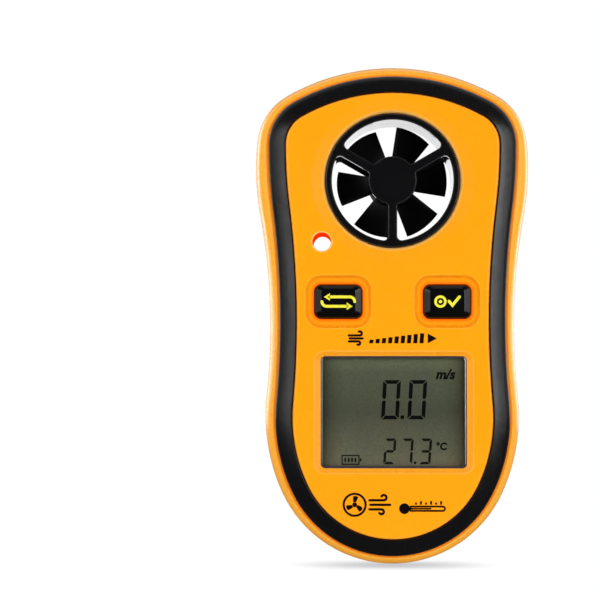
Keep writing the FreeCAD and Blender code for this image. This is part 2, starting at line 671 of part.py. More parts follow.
def rear_case():
    face = dim.rear_face
    outside = face + dim.overlap
    case = shell("rear_case", REAR, face)
    shell_duct(case, REAR, face, dim.rear_bore_r, dim.rear_duct_wall_r, dim.rear_dish_r)
    for i, side in enumerate(LEFT_RIGHT):
        place = (dim.screw_x * side, dim.screw_z)
        cylinder(pad, case, "screw_post_%d" % i, dim.screw_boss_r, place,
                 0, rear_inside + dim.wall_tuck)
        cylinder(cut, case, "screw_clear_%d" % i, dim.screw_hole_r + dim.screw_play, place,
                 -dim.overlap, outside)
        cylinder(cut, case, "screw_recess_%d" % i, dim.screw_recess_r, place,
                 outside, dim.screw_head_y - dim.screw_head_t)
    battery_bay(case)
    # pin hole over the unit switch
    cylinder(cut, case, "unit_pin_hole", dim.unit_hole_r, unit,
             outside, rear_inside - dim.outer_reach)
    round_edges(case, "unit_mouth", mouth_at(face, *unit), dim.mouth_round)
    # slot for the sensor ribbon through the duct wall
    box(cut, case, "ribbon_slot", (dim.case_ribbon_w, dim.slot_h, 0),
        (0, dim.vane_z - dim.rear_duct_wall_r + dim.slot_inset),
        dim.case_ribbon_near, dim.case_ribbon_far)
    shell_finish(case, REAR, face)


front_case()
rear_case()


# ---------------------------------------------------------------- grip bands
def grip_band(label, way, face):
    """Rubber strip on the ledge round the island. Its crowned section climbs
    from a low rounded outer edge to a crest beside the island, and is
    chamfered towards the island."""
    band = new_body(label)
    low = dim.ledge_depth + dim.band_low
    high = face - dim.band_drop
    profile = outline(band, "base_outer", dim.ledge_depth * way, "band", 0)
    pad(band, "base", profile, dim.band_low, way)
    crown = [(quantity(0), 0)]
    for key in "abcde":
        crown.append((getattr(dim, "crown_in_" + key), getattr(dim, "crown_up_" + key)))
    crown.append((dim.crown_in_f, 1))
    sections = [outline(band, "crown_section_%d" % i, (low + (high - low) * climb) * way,
                        "band", -inset) for i, (inset, climb) in enumerate(crown)]
    loft(band, "crown", sections, ruled=False)
    profile = outline(band, "island_clear", (dim.ledge_depth - dim.overlap) * way,
                      "band", -dim.band_width)
    cut(band, "inner_wall", profile, dim.band_cut_depth, way)
    top = outline(band, "chamfer_top", (high + dim.skin) * way, "band",
                  -(dim.band_width - dim.band_chamfer - dim.skin))
    foot = outline(band, "chamfer_foot", (high - dim.band_chamfer) * way,
                   "band", -dim.band_width)
    loft(band, "inner_chamfer", [top, foot], subtract=True)
    doc.recompute()


grip_band("front_grip_band", FRONT, dim.front_face)
grip_band("rear_grip_band", REAR, dim.rear_face)


# ----------------------------------------------------------------- vane cages
def spider(profile, outer, rim, hub, half, rim_round, root_round):
    """Outer circle and three windows between hub, rim and struts at 30, 150 and
    270 degrees. half is half a strut's width; the rounds are at its two ends."""
    profile.addGeometry(Part.Circle(Vector(0, 0, 0), Vector(0, 0, 1), outer), False)

    def on_strut(angle, along, across):
        cosine, sine = math.cos(math.radians(angle)), math.sin(math.radians(angle))
        return Vector(along * cosine - across * sine, along * sine + across * cosine, 0)

    def arc_middle(center, start, end, radius):
        middle = (start - center).normalize() + (end - center).normalize()
        middle.normalize()
        return center + middle * radius

    def strut_edge(angle, side):
        """Start, middle and end of the rim fillet, then of the hub fillet."""
        across_rim, across_hub = half + rim_round, half + root_round
        along_rim = math.sqrt((rim - rim_round) ** 2 - across_rim ** 2)
        along_hub = math.sqrt((hub + root_round) ** 2 - across_hub ** 2)
        rim_center = on_strut(angle, along_rim, side * across_rim)
        hub_center = on_strut(angle, along_hub, side * across_hub)
        rim_line = on_strut(angle, along_rim, side * half)
        hub_line = on_strut(angle, along_hub, side * half)
        on_rim = rim_center * (rim / (rim - rim_round))
        on_hub = hub_center * (hub / (hub + root_round))
        return (on_rim, arc_middle(rim_center, on_rim, rim_line, rim_round), rim_line,
                hub_line, arc_middle(hub_center, hub_line, on_hub, root_round), on_hub)

    def arc(*points):
        profile.addGeometry(Part.Arc(*points), False)

    for angle in (30.0, 150.0, 270.0):
        first = strut_edge(angle, 1)
        second = strut_edge(angle + 120.0, -1)
        arc(first[0], first[1], first[2])
        add_line(profile, first[2], first[3])
        arc(first[3], first[4], first[5])
        arc(first[5], on_strut(angle + 60.0, hub, 0), second[5])
        arc(second[5], second[4], second[3])
        add_line(profile, second[3], second[2])
        arc(second[2], second[1], second[0])
        arc(second[0], on_strut(angle + 60.0, rim, 0), first[0])


def cage(label, way, outer, duct, end):
    """Duct liner closed by a spider whose hub carries a seat for the bush."""
    part = new_body(label)
    inside = end - dim.spider_t
    profile = on_xz(part, "spider_sketch", inside * way, *vane)
    spider(profile, outer.value, duct.value, dim.hub_r.value, dim.strut_w.value / 2,
           dim.window_round.value, dim.root_round.value)
    pad(part, "spider", profile, dim.spider_t, way)
    round_edges(part, "spider_edges", flat_at(end * way), dim.spider_edge)
    profile = round_sketch(part, "barrel_sketch", 0, vane, outer, duct)
    pad(part, "barrel", profile, inside + dim.spider_lap, way)
    bush_end = inside - dim.bush_len
    cylinder(pad, part, "bush_boss", dim.bush_boss_r, vane,
             (inside + dim.spider_lap) * way, bush_end * way)
    cylinder(cut, part, "bush_seat", dim.bush_r, vane,
             (bush_end - dim.spider_lap) * way, inside * way)
    return part


front_cage = cage("front_vane_cage", FRONT, dim.front_cage_r, dim.front_duct_r, dim.front_cage_y)
flange = round_sketch(front_cage, "flange_sketch", 0, vane, dim.cage_flange_r, dim.front_duct_r)
pad(front_cage, "flange", flange, dim.cage_flange_t, FRONT)
bead_slot(front_cage, dim.vane_z - dim.front_cage_r)

rear_cage = cage("rear_vane_cage", REAR, dim.rear_cage_r, dim.rear_duct_r, dim.rear_cage_y)
box(cut, rear_cage, "ribbon_slot", (dim.cage_ribbon_w, dim.slot_h, 0),
    (0, dim.vane_z - dim.rear_cage_r), dim.cage_ribbon_near, dim.cage_ribbon_far)


def bearing(label, way, cage_end):
    """Bush in a cage hub."""
    far = cage_end - dim.spider_t
    near = far - dim.bush_len
    revolve(new_body(label), "bush",
            [(near * way, dim.bush_bore), (far * way, dim.bush_bore),
             (far * way, dim.bush_r), (near * way, dim.bush_r)], dim.vane_z)


bearing("front_bearing", FRONT, dim.front_cage_y)
bearing("rear_bearing", REAR, dim.rear_cage_y)


# --------------------------------------------------------------------- rotor
def blade_section(rotor, name, radius, half, above, below):
    """Blade section square to the first blade's radius, which is turned up from
    +X by the blade phase. half is the blade's half rise, above and below its
    thickness either side of that."""
    profile = on_yz(rotor, name, radius, dim.vane_z)
    phase = dim.blade_phase
    up, out = math.sin(math.radians(phase.value)), math.cos(math.radians(phase.value))
    profile.AttachmentOffset = Placement(
        Vector(0, dim.vane_z.value + radius.value * up, radius.value * out),
        Rotation(Vector(-1, 0, 0), phase.value))
    profile.setExpression("AttachmentOffset.Base.y", "%s + %s * sin(%s * 1 deg)"
                          % (dim.vane_z.text, radius.text, phase.text))
    profile.setExpression("AttachmentOffset.Base.z", "%s * cos(%s * 1 deg)"
                          % (radius.text, phase.text))
    reach = dim.blade_half
    polygon(profile, [(-reach, half + above), (-reach, half - below),
                      (reach, -(half + above)), (reach, -(half - below))])
    return profile


def vane_rotor():
    """Cup-shaped hub and six pitched blades."""
    rotor = new_body("vane_rotor")
    thick = dim.blade_t / 2
    root = blade_section(rotor, "blade_root", dim.blade_inner, dim.blade_root_half, thick, thick)
    tip = blade_section(rotor, "blade_tip", dim.blade_outer, dim.blade_tip_half,
                        thick * 1.4, thick * 0.2)
    blade = loft(rotor, "blade", [root, tip])
    doc.recompute()
    blades = rotor.newObject("PartDesign::PolarPattern", "blades")
    blades.Originals = [blade]
    blades.Axis = (on_xz(rotor, "rotor_axis_sketch", 0, *vane), ["N_Axis"])
    blades.Angle = 360.0
    blades.Occurrences = 6
    rotor.Tip = blades
    doc.recompute()
    edge, hub, front, rear = dim.rotor_hub_edge, dim.rotor_hub_r, dim.rotor_front, dim.rotor_rear
    revolve(rotor, "hub", [(-front, 0), (-front, hub - edge), (-(front - edge), hub),
                           (rear, hub), (rear, 0)], dim.vane_z)
    cylinder(cut, rotor, "magnet_cup", dim.magnet_r + dim.magnet_play, vane,
             rear + dim.overlap, rear - dim.magnet_t - dim.cup_extra)
    core = dim.magnet_bore - dim.magnet_play
    cylinder(pad, rotor, "hub_core", core, vane, dim.core_start_y, rear + dim.core_proud)
    cylinder(pad, rotor, "hub_nose", core, vane, dim.core_start_y, -(front + dim.nose_proud))
    cylinder(cut, rotor, "shaft_bore", dim.shaft_r, vane, -dim.shaft_cut_half, dim.shaft_cut_half)
    profile = round_sketch(rotor, "tip_trim_sketch", -dim.trim_half, vane,
                           dim.trim_r, dim.rotor_tip_r)
    cut(rotor, "tip_trim", profile, dim.trim_half * 2, REAR)


def rotor_shaft():
    half = dim.shaft_half
    point = half - dim.shaft_point
    straight = half - dim.shaft_taper_len
    slim = dim.shaft_r - dim.shaft_taper
    revolve(new_body("rotor_shaft"), "shaft",
            [(-half, 0), (-point, slim), (-straight, dim.shaft_r),
             (straight, dim.shaft_r), (point, slim), (half, 0)], dim.vane_z)


def rotor_magnet():
    far = dim.rotor_rear - dim.magnet_sink
    near = dim.rotor_rear - dim.magnet_t - dim.magnet_sink
    revolve(new_body("rotor_magnet"), "ring",
            [(near, dim.magnet_bore), (far, dim.magnet_bore),
             (far, dim.magnet_r), (near, dim.magnet_r)], dim.vane_z)


vane_rotor()
rotor_shaft()
rotor_magnet()


# ------------------------------------------------------------------- sensors
# the hall sensor sits on the inner side of the rear spider
box(pad, new_body("hall_sensor"), "case", (dim.hall_w, dim.hall_h, 0),
    (0, dim.vane_z - dim.hall_drop), dim.hall_y, dim.rear_cage_y - dim.spider_t)


def sensor_ribbon():
    """Ribbon from the hall sensor down and forward to the board."""
    ribbon = new_body("sensor_ribbon")
    profile = on_yz(ribbon, "path", -(dim.ribbon_w / 2), 0)
    top, board = dim.vane_z - 4.75, dim.pcb_top - 0.2
    thick = dim.ribbon_t
    rear, run, foot = quantity(7.6), board + 0.3, board - 1.45
    # y and z round the folded strip
    polygon(profile, [
        (rear - thick, top), (rear, top), (rear, run), (thick, run), (thick, foot),
        (-0.85, foot), (-0.85, foot + thick), (0, foot + thick),
        (0, run + thick), (rear - thick, run + thick)])
    bind(feature(ribbon, "Pad", "ribbon", profile), "Length", dim.ribbon_w)


def thermistor():
    """Round bead in the duct-wall slot."""
    bead = new_body("thermistor")
    profile = on_yz(bead, "bead_profile", 0, dim.vane_z - dim.front_duct_r - dim.bead_drop)
    y, radius = dim.bead_y.value, dim.bead_r.value
    add_arc(profile, y, 0, radius, 0, math.pi)
    add_line(profile, Vector(y - radius, 0, 0), Vector(y + radius, 0, 0))
    spin(bead, "bead", profile)


def round_wire(points, radius):
    """Round wire through the given points, with a ball at each bend."""
    solids = []
    for start, end in zip(points[:-1], points[1:]):
        run = end - start
        solids.append(Part.makeCylinder(radius, run.Length, start, run))
    for point in points[1:-1]:
        solids.append(Part.makeSphere(radius, point))
    wire = solids[0]
    for extra in solids[1:]:
        wire = wire.fuse(extra)
    return wire.removeSplitter()


def thermistor_leads():
    """Two leads from the bead down, then back to the board."""
    y = dim.bead_y.value
    top = (dim.vane_z - dim.front_duct_r - dim.bead_drop - dim.lead_start).value
    low = (dim.pcb_top - dim.lead_board_drop).value
    board = (board_front - dim.pcb_gap).value
    leads = []
    for side in LEFT_RIGHT:
        x = dim.lead_half_pitch.value * side
        leads.append(round_wire([Vector(x, y, top), Vector(x, y, low), Vector(x, board, low)],
                                dim.lead_r.value))
    new_solids("thermistor_leads", leads)


sensor_ribbon()
thermistor()
thermistor_leads()

# ------------------------------------------------------------------- display
lens_front = -(dim.front_face - dim.lens_seat) + dim.tape_t
lens_size = (dim.lens_w, dim.lens_h, dim.lens_corner - dim.lens_corner_less)
glass_front = -dim.glass_y
board_stop = -(dim.pcb_y + dim.pcb_gap)
zebra = (dim.lcd_x, dim.lcd_z - dim.glass_h / 2 + dim.zebra_up)


def lens_adhesive():
    """Tape frame between the lens and its seat."""
    tape = new_body("lens_adhesive")
    profile = rounded_sketch(tape, "tape_sketch", lens_front, lcd, *lens_size)
    rounded_rectangle(profile, dim.window_w + dim.tape_margin, dim.window_h + dim.tape_margin,
                      dim.window_corner)
    pad(tape, "tape", profile, dim.tape_t, FRONT)


def lcd_glass():
    """Full plate in front, and a plate behind it that leaves a ledge at the bottom."""
    glass = new_body("lcd_glass")
    box(pad, glass, "cell", (dim.glass_w, dim.glass_h, 0), lcd,
        glass_front, glass_front + dim.glass_t / 2)
    box(pad, glass, "rear_plate", (dim.glass_w, dim.glass_h - dim.glass_ledge, 0),
        (dim.lcd_x, dim.lcd_z + dim.glass_ledge / 2),
        glass_front + dim.glass_lap, glass_front + dim.glass_t)


def lcd_holder():
    """Frame between glass and board, with its upper corners trimmed at a slope."""
    holder = new_body("lcd_holder")
    cut_end = board_stop + dim.overlap
    corner = dim.pocket_corner
    play = dim.pocket_play
    box(pad, holder, "frame", (dim.holder_w, dim.holder_h, dim.holder_corner), lcd,
        glass_front + dim.holder_sink, board_stop)
    box(cut, holder, "glass_pocket", (dim.glass_w + play, dim.glass_h + play, corner), lcd,
        glass_front, glass_front + dim.glass_t + dim.pocket_extra)
    box(cut, holder, "light_well",
        (dim.glass_w - dim.well_less_w, dim.glass_h - dim.well_less_h, corner),
        (dim.lcd_x, dim.lcd_z + dim.well_up), glass_front + dim.glass_t, cut_end)
    x, z, far = dim.holder_trim_x, dim.holder_trim_z, dim.holder_w
    high = z + dim.holder_trim_h * (far - x) / dim.holder_trim_w
    for i, side in enumerate(LEFT_RIGHT):
        profile = on_xz(holder, "corner_sketch_%d" % i, glass_front)
        polygon(profile, [(x * side, z), (far * side, z), (far * side, high)])
        cut(holder, "corner_trim_%d" % i, profile, dim.holder_trim_d, REAR)
    box(cut, holder, "zebra_slot", (dim.zebra_w + play, dim.zebra_h + play, corner), zebra,
        glass_front, cut_end)


box(pad, new_body("lcd_lens"), "plate", lens_size, lcd, lens_front, lens_front + dim.lens_t)
lens_adhesive()
lcd_glass()
lcd_holder()
box(pad, new_body("lcd_zebra_strip"), "strip", (dim.zebra_w, dim.zebra_h, 0), zebra,
    glass_front + dim.glass_t / 2 + dim.zebra_gap, board_stop)


# ------------------------------------------------------------- circuit board
def circuit_board():
    board = new_body("pcb")
    profile = outline(board, "board_sketch", board_front, "band", -dim.pcb_inset)
    pad(board, "board", profile, dim.pcb_t, REAR)
    cut_start = board_front - dim.overlap
    box(cut, board, "top_trim", (dim.pcb_trim, dim.pcb_trim, 0),
        (0, dim.pcb_top + dim.pcb_trim / 2), cut_start, dim.pcb_cut_end)
    for i, place in enumerate(board_posts):
        cylinder(cut, board, "hole_%d" % i, dim.pcb_screw_r + dim.pcb_hole_play, place,
                 cut_start, dim.pcb_cut_end)


circuit_board()


# -------------------------------------------------------------------- screws
def screw_shape(head_r, head_t, shank_r, length, cross_w, cross_l, cross_d):
    """Pan-head screw, head seat at the origin, head towards +Y, cross recess in the head."""
    side = Part.makePolygon([Vector(x, y, 0) for x, y in (
        (0, -length), (shank_r * 0.35, -length), (shank_r, -length + shank_r * 0.9),
        (shank_r, 0), (head_r, 0), (head_r, head_t * 0.55))])
    crown = Part.Arc(Vector(head_r, head_t * 0.55, 0), Vector(head_r * 0.72, head_t * 0.92, 0),
                     Vector(0, head_t, 0)).toShape()
    axis = Part.makeLine(Vector(0, head_t, 0), Vector(0, -length, 0))
    face = Part.Face(Part.Wire(Part.sortEdges(side.Edges + [crown, axis])[0]))
    solid = face.revolve(Vector(0, 0, 0), Vector(0, 1, 0), 360)
    if solid.ShapeType != "Solid":
        solid = solid.Solids[0]
    for x, z in ((cross_l, cross_w), (cross_w, cross_l)):
        corner = Vector(-x / 2, head_t - cross_d, -z / 2)
        solid = solid.cut(Part.makeBox(x, cross_d + 1.0, z, corner))
    return solid


def screw_group(label, seat_y, seats, **size):
    """Equal screws; each seat is (x, z, turn of the cross in degrees)."""
    solids = []
    for x, z, turn in seats:
        screw = screw_shape(**{key: amount.value for key, amount in size.items()})
        screw.rotate(Vector(0, 0, 0), Vector(0, 1, 0), turn)
        screw.translate(Vector(quantity(x).value, (seat_y + dim.head_gap).value, z.value))
        solids.append(screw)
    new_solids(label, solids)


case_seat = dim.screw_head_y - dim.screw_head_t
door_screw_seat = dim.rear_face - dim.door_recess_d
screw_group("pcb_screws", board_back,
            [(*place, turn) for place, turn in zip(board_posts, (20, 65, 5))],
            head_r=dim.pcb_head_r, head_t=dim.pcb_head_t, shank_r=dim.pcb_screw_r,
            length=dim.pcb_screw_end + board_back,
            cross_w=dim.pcb_cross_w, cross_l=dim.pcb_cross_l, cross_d=dim.pcb_cross_d)
screw_group("case_screws", case_seat,
            [(dim.screw_x, dim.screw_z, 28), (-dim.screw_x, dim.screw_z, 12)],
            head_r=dim.screw_head_r, head_t=dim.screw_head_t, shank_r=dim.screw_r,
            length=case_seat - dim.screw_end,
            cross_w=dim.cross_w, cross_l=dim.cross_l, cross_d=dim.cross_d)
screw_group("battery_door_screw", door_screw_seat, [(*door_screw, 45)],
            head_r=dim.door_head_r, head_t=dim.door_head_t, shank_r=dim.door_screw_r,
            length=dim.door_screw_len,
            cross_w=dim.cross_w, cross_l=dim.cross_l, cross_d=dim.door_cross_d)


# --------------------------------------------------------- keys and switches
def key_button(label, side):
    """Key with its retaining flange, bevelled cap and stem."""
    key = new_body(label)
    place = (dim.key_x * side, dim.key_z)
    width, height, corner = dim.key_w, dim.key_h, dim.key_corner
    flange_front = front_inside + dim.key_flange_gap
    box(pad, key, "flange", (width + dim.key_flange * 2, height + dim.key_flange * 2, corner),
        place, flange_front, flange_front + dim.key_flange_t)
    box(pad, key, "cap", (width, height, corner), place,
        front_inside + dim.key_cap_sink, -dim.key_shoulder_y)
    step = dim.key_shoulder
    sections = [
        rounded_sketch(key, "shoulder_low", -dim.key_shoulder_y, place, width, height, corner),
        rounded_sketch(key, "bevel_low", -dim.key_bevel_y, place,
                       width - step * 2, height - step * 2, corner - step),
        rounded_sketch(key, "bevel_high", -dim.key_face, place,
                       width - dim.key_bevel_w * 2, height - dim.key_bevel_h * 2,
                       corner - dim.key_top_less),
    ]
    loft(key, "bevel", sections)
    cylinder(pad, key, "stem", dim.key_stem_r, place, front_inside + dim.key_stem_sink,
             -(dim.pcb_y + dim.switch_t + dim.plunger_len + dim.key_stem_gap))
    round_edges(key, "crown_edge", flat_at(-dim.key_face), dim.key_crown)


def push_switch(label, place, board, way, width, thick, radius, play, bore_floor, foot, reach):
    """Switch body with a bore, and a plunger free in it; bore_floor and foot are
    heights above the board face, reach is how far the plunger stands out."""
    body = new_body(label)
    box(pad, body, "housing", (width, width, dim.switch_corner), place,
        board, board + thick * way)
    cylinder(cut, body, "plunger_bore", radius + play, place,
             board + (thick + dim.overlap) * way, board + bore_floor * way)
    cylinder(pad, new_body(label + "_plunger"), "plunger", radius, place,
             board + foot * way, board + (thick + reach) * way)


key_button("mode_button", -1)
key_button("set_button", 1)
for label, side in (("mode_switch", -1), ("set_switch", 1)):
    push_switch(label, (dim.key_x * side, dim.key_z), board_front, FRONT,
                width=dim.switch_w, thick=dim.switch_t, radius=dim.plunger_r,
                play=dim.switch_play, bore_floor=dim.switch_bore_y,
                foot=dim.plunger_foot, reach=dim.plunger_len)
push_switch("unit_switch", unit, board_back, REAR,
            width=dim.unit_switch_w, thick=dim.unit_switch_t, radius=dim.unit_plunger_r,
            play=dim.unit_play, bore_floor=dim.unit_bore_y,
            foot=dim.unit_foot, reach=dim.unit_plunger_len)


# --------------------------------------------- components behind the board
def main_chip():
    chip = new_body("main_chip")
    place = (dim.chip_x, dim.chip_z)
    box(pad, chip, "package", (dim.chip_w, dim.chip_w, dim.chip_corner), place,
        board_back + dim.chip_standoff, board_back + dim.chip_top)
    box(pad, chip, "pins", (dim.pins_w, dim.pins_h, 0), place, board_back, board_back + dim.pins_t)


def clock_crystal():
    """Upright round can."""
    crystal = new_body("clock_crystal")
    profile = sketch(crystal, "can_sketch", "XY_Plane", dim.crystal_x,
                     board_back + dim.crystal_standoff, dim.crystal_z)
    circle(profile, dim.crystal_r)
    bind(feature(crystal, "Pad", "can", profile), "Length", dim.crystal_len)


main_chip()
clock_crystal()
new_solids("smd_components", [
    Part.makeBox(width, thick, height, Vector(x - width / 2, board_back.value, z - height / 2))
    for x, z, width, height, thick in SMALL_PARTS])


# ------------------------------------------------------------------- battery
def battery_cell():
    """Coin cell: narrower raised pole in front, full can behind."""
    low, high, radius = dim.cell_y, dim.cell_y + dim.cell_t, dim.cell_r
    revolve(new_body("battery_cell"), "can", [
        (low, 0), (low, radius - 1.6), (low + 0.3, radius - 1.4), (low + 0.3, radius - 0.25),
        (low + 0.55, radius), (high - 0.3, radius), (high, radius - 0.3), (high, 0)],
        dim.cell_z)


def battery_contacts():
    """Negative plate under the cell with a leg through the tub floor to the
    board, and the positive strip beside the cell."""
    contact = new_body("battery_contact_negative")
    floor = dim.tub_floor + dim.plate_gap
    foot = board_back + dim.contact_gap
    box(pad, contact, "plate", (dim.plate_w, dim.plate_h, dim.plate_corner),
        (0, dim.cell_z - dim.plate_drop), floor, floor + dim.plate_t)
    box(pad, contact, "leg", (dim.leg_w, dim.leg_t, 0), (0, dim.cell_z - dim.negative_drop),
        floor + dim.leg_lap, foot)
    box(pad, new_body("battery_contact_positive"), "strip", (dim.strip_w, dim.strip_h, 0),
        (dim.cell_r + dim.strip_out, dim.cell_z), dim.strip_y, foot)


def battery_door():
    """Oval plate with a recess for its screw and a round rib over the cell."""
    door = new_body("battery_door")
    face = dim.rear_face
    pad(door, "plate", oval_sketch(door, "plate_sketch", face, 0), dim.door_t, FRONT)
    round_edges(door, "edge", flat_at(face), dim.door_edge)
    cylinder(cut, door, "screw_recess", dim.door_recess_r, door_screw,
             face + dim.overlap, door_screw_seat)
    cylinder(cut, door, "screw_clear", dim.door_screw_r + dim.door_screw_play, door_screw,
             face, face - dim.door_t - dim.overlap)
    round_edges(door, "recess_mouth", mouth_at(face, *door_screw), dim.mouth_round)
    rib = round_sketch(door, "rib_sketch", face - dim.door_t + dim.rib_lap, cell,
                       dim.rib_outer_r, dim.rib_inner_r)
    pad(door, "cell_rib", rib, dim.rib_len, FRONT)


battery_cell()
battery_contacts()
battery_door()
cylinder(pad, new_body("qc_sticker"), "label", dim.sticker_r, (dim.sticker_x, dim.sticker_z),
         dim.rear_face, dim.rear_face + dim.sticker_t)

# ------------------------------------------------------------ check and write
doc.recompute()
bad = []
for obj in doc.Objects:
    state = [str(entry) for entry in obj.State]
    if "Invalid" in state or "Error" in state:
        bad.append("%s: %s" % (obj.Name, state))
for piece in pieces:
    if piece.Shape.isNull() or not piece.Shape.isValid():
        bad.append("%s: shape null or invalid" % piece.Label)
    elif not piece.Shape.Solids:
        bad.append("%s: no solid" % piece.Label)
if bad:
    raise RuntimeError("; ".join(bad))

os.makedirs("parts", exist_ok=True)
for piece in pieces:
    piece.Shape.exportStep(os.path.join("parts", piece.Label + ".step"))
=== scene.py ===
"""Handheld wind meter: orange case, black grips, display, two keys and a vane in a round duct.

It stands along +Z with its front facing -Y, so +X is to the right as seen from the front. The two
case shells meet at Y = 0. Materials, stage and lights are in metres; outlines of raised marks
are (x, z) points in millimetres.
"""

import bpy
import bmesh
import json
import math
from functools import partialmethod
from types import SimpleNamespace
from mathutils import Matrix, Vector


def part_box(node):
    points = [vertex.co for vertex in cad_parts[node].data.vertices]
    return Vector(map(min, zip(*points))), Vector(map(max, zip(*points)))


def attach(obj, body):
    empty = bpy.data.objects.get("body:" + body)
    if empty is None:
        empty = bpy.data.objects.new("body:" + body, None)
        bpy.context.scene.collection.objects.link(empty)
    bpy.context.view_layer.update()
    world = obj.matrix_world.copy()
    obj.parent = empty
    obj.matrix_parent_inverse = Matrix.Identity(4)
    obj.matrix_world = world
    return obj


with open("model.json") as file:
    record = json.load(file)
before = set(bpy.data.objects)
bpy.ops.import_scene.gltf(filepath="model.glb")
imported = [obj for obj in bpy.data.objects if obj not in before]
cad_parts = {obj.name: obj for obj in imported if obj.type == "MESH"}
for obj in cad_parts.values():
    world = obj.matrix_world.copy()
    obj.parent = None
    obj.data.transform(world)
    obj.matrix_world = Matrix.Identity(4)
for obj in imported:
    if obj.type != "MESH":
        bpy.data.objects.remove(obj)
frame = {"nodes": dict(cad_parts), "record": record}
CAD = frame["nodes"]
MM = 0.001
FRONT, BACK = -1, 1     # direction along Y of each face of the product


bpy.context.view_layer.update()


def centre_of(node):
    """Centre of a CAD piece in the XZ plane, in mm."""
    low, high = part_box(node)
    return (low.x + high.x) / 2 / MM, (low.z + high.z) / 2 / MM


# ---------------------------------------------------------------- node helpers
def grey(level):
    return (level,) * 3


def shade(colour, factor):
    return [min(1.0, channel * factor) for channel in colour]


class Net:
    """Node tree with short calls for the nodes used here; each call returns a socket."""

    def __init__(self, tree):
        self.tree = tree

    def set(self, node, inputs):
        """Link sockets and store plain values on the inputs of a node."""
        for key, value in inputs.items():
            socket = node.inputs[key]
            if isinstance(value, bpy.types.NodeSocket):
                self.tree.links.new(value, socket)
            elif socket.type == "RGBA":
                socket.default_value = (*value, 1.0)
            else:
                socket.default_value = value

    def node(self, kind, inputs=None, **settings):
        made = self.tree.nodes.new("ShaderNode" + kind)
        for key, value in settings.items():
            setattr(made, key, value)
        self.set(made, inputs or {})
        return made

    def noise(self, scale, detail=3.0, rough=0.5, at=None):
        vector = at or self.coords
        inputs = {"Scale": scale, "Detail": detail, "Roughness": rough, "Vector": vector}
        return self.node("TexNoise", inputs).outputs["Fac"]

    def ramp(self, value, stops):
        """Colour ramp; stops maps each position to a colour."""
        node = self.node("ValToRGB", {"Fac": value})
        elements = node.color_ramp.elements
        while len(elements) > 1:
            elements.remove(elements[-1])
        for i, (position, colour) in enumerate(stops.items()):
            element = elements.new(position) if i else elements[0]
            element.position = position
            element.color = (*colour, 1)
        return node.outputs["Color"]

    def remap(self, value, span, to=(0.0, 1.0)):
        inputs = {0: value, 1: span[0], 2: span[1], 3: to[0], 4: to[1]}
        return self.node("MapRange", inputs).outputs[0]

    def vary_colour(self, noise, dark, light):
        return self.ramp(noise, {0.3: dark, 0.7: light})

    def vary_value(self, noise, low, high):
        return self.remap(noise, span=(0.3, 0.7), to=(low, high))

    def mix(self, factor, first, second, mode="MIX"):
        inputs = {0: factor, 6: first, 7: second}
        return self.node("Mix", inputs, data_type="RGBA", blend_type=mode).outputs[2]

    def tint(self, first, second):
        return self.mix(1.0, first, second, mode="MULTIPLY")

    def mix_value(self, factor, first, second):
        return self.node("Mix", {0: factor, 2: first, 3: second}).outputs[0]

    def mix_shader(self, factor, first, second):
        return self.node("MixShader", {0: factor, 1: first, 2: second}).outputs[0]

    def math(self, operation, *values):
        return self.node("Math", dict(enumerate(values)), operation=operation).outputs[0]

    add = partialmethod(math, "ADD")
    subtract = partialmethod(math, "SUBTRACT")
    multiply = partialmethod(math, "MULTIPLY")
    maximum = partialmethod(math, "MAXIMUM")
    absolute = partialmethod(math, "ABSOLUTE")
    invert = partialmethod(math, "SUBTRACT", 1.0)

    def length(self, x, z):
        squares = self.add(self.multiply(x, x), self.multiply(z, z))
        return self.math("SQRT", squares)

    def split(self, vector):
        return tuple(self.node("SeparateXYZ", {0: vector}).outputs)

    def bevel(self, radius):
        return self.node("Bevel", {"Radius": radius}, samples=4).outputs["Normal"]

    def bump(self, height, strength, distance, base=None):
        inputs = {"Strength": strength, "Distance": distance, "Height": height}
        if base:
            inputs["Normal"] = base
        return self.node("Bump", inputs).outputs["Normal"]

    def openness(self, distance, samples=6):
        """Ambient occlusion: 1 in the open, less in corners and holes."""
        node = self.node("AmbientOcclusion", {"Distance": distance}, samples=samples)
        return node.outputs["AO"]

    def edge_match(self, geometry, radius):
        """1 on flat ground, less where a rounded edge would turn the normal."""
        inputs = {0: self.bevel(radius), 1: geometry.outputs["Normal"]}
        return self.node("VectorMath", inputs, operation="DOT_PRODUCT").outputs["Value"]

    def fresnel(self, ior):
        return self.node("Fresnel", {"IOR": ior}).outputs[0]

    def finish(self, shader):
        """Link the shader to the output and hand back the material."""
        self.set(self.output, {"Surface": shader.outputs[0]})
        return self.material


def new_net(name):
    """Empty material with an output and object coordinates."""
    material = bpy.data.materials.new(name)
    material.use_nodes = True
    net = Net(material.node_tree)
    net.tree.nodes.clear()
    net.material = material
    net.output = net.node("OutputMaterial")
    net.coords = net.node("TexCoord").outputs["Object"]
    return net


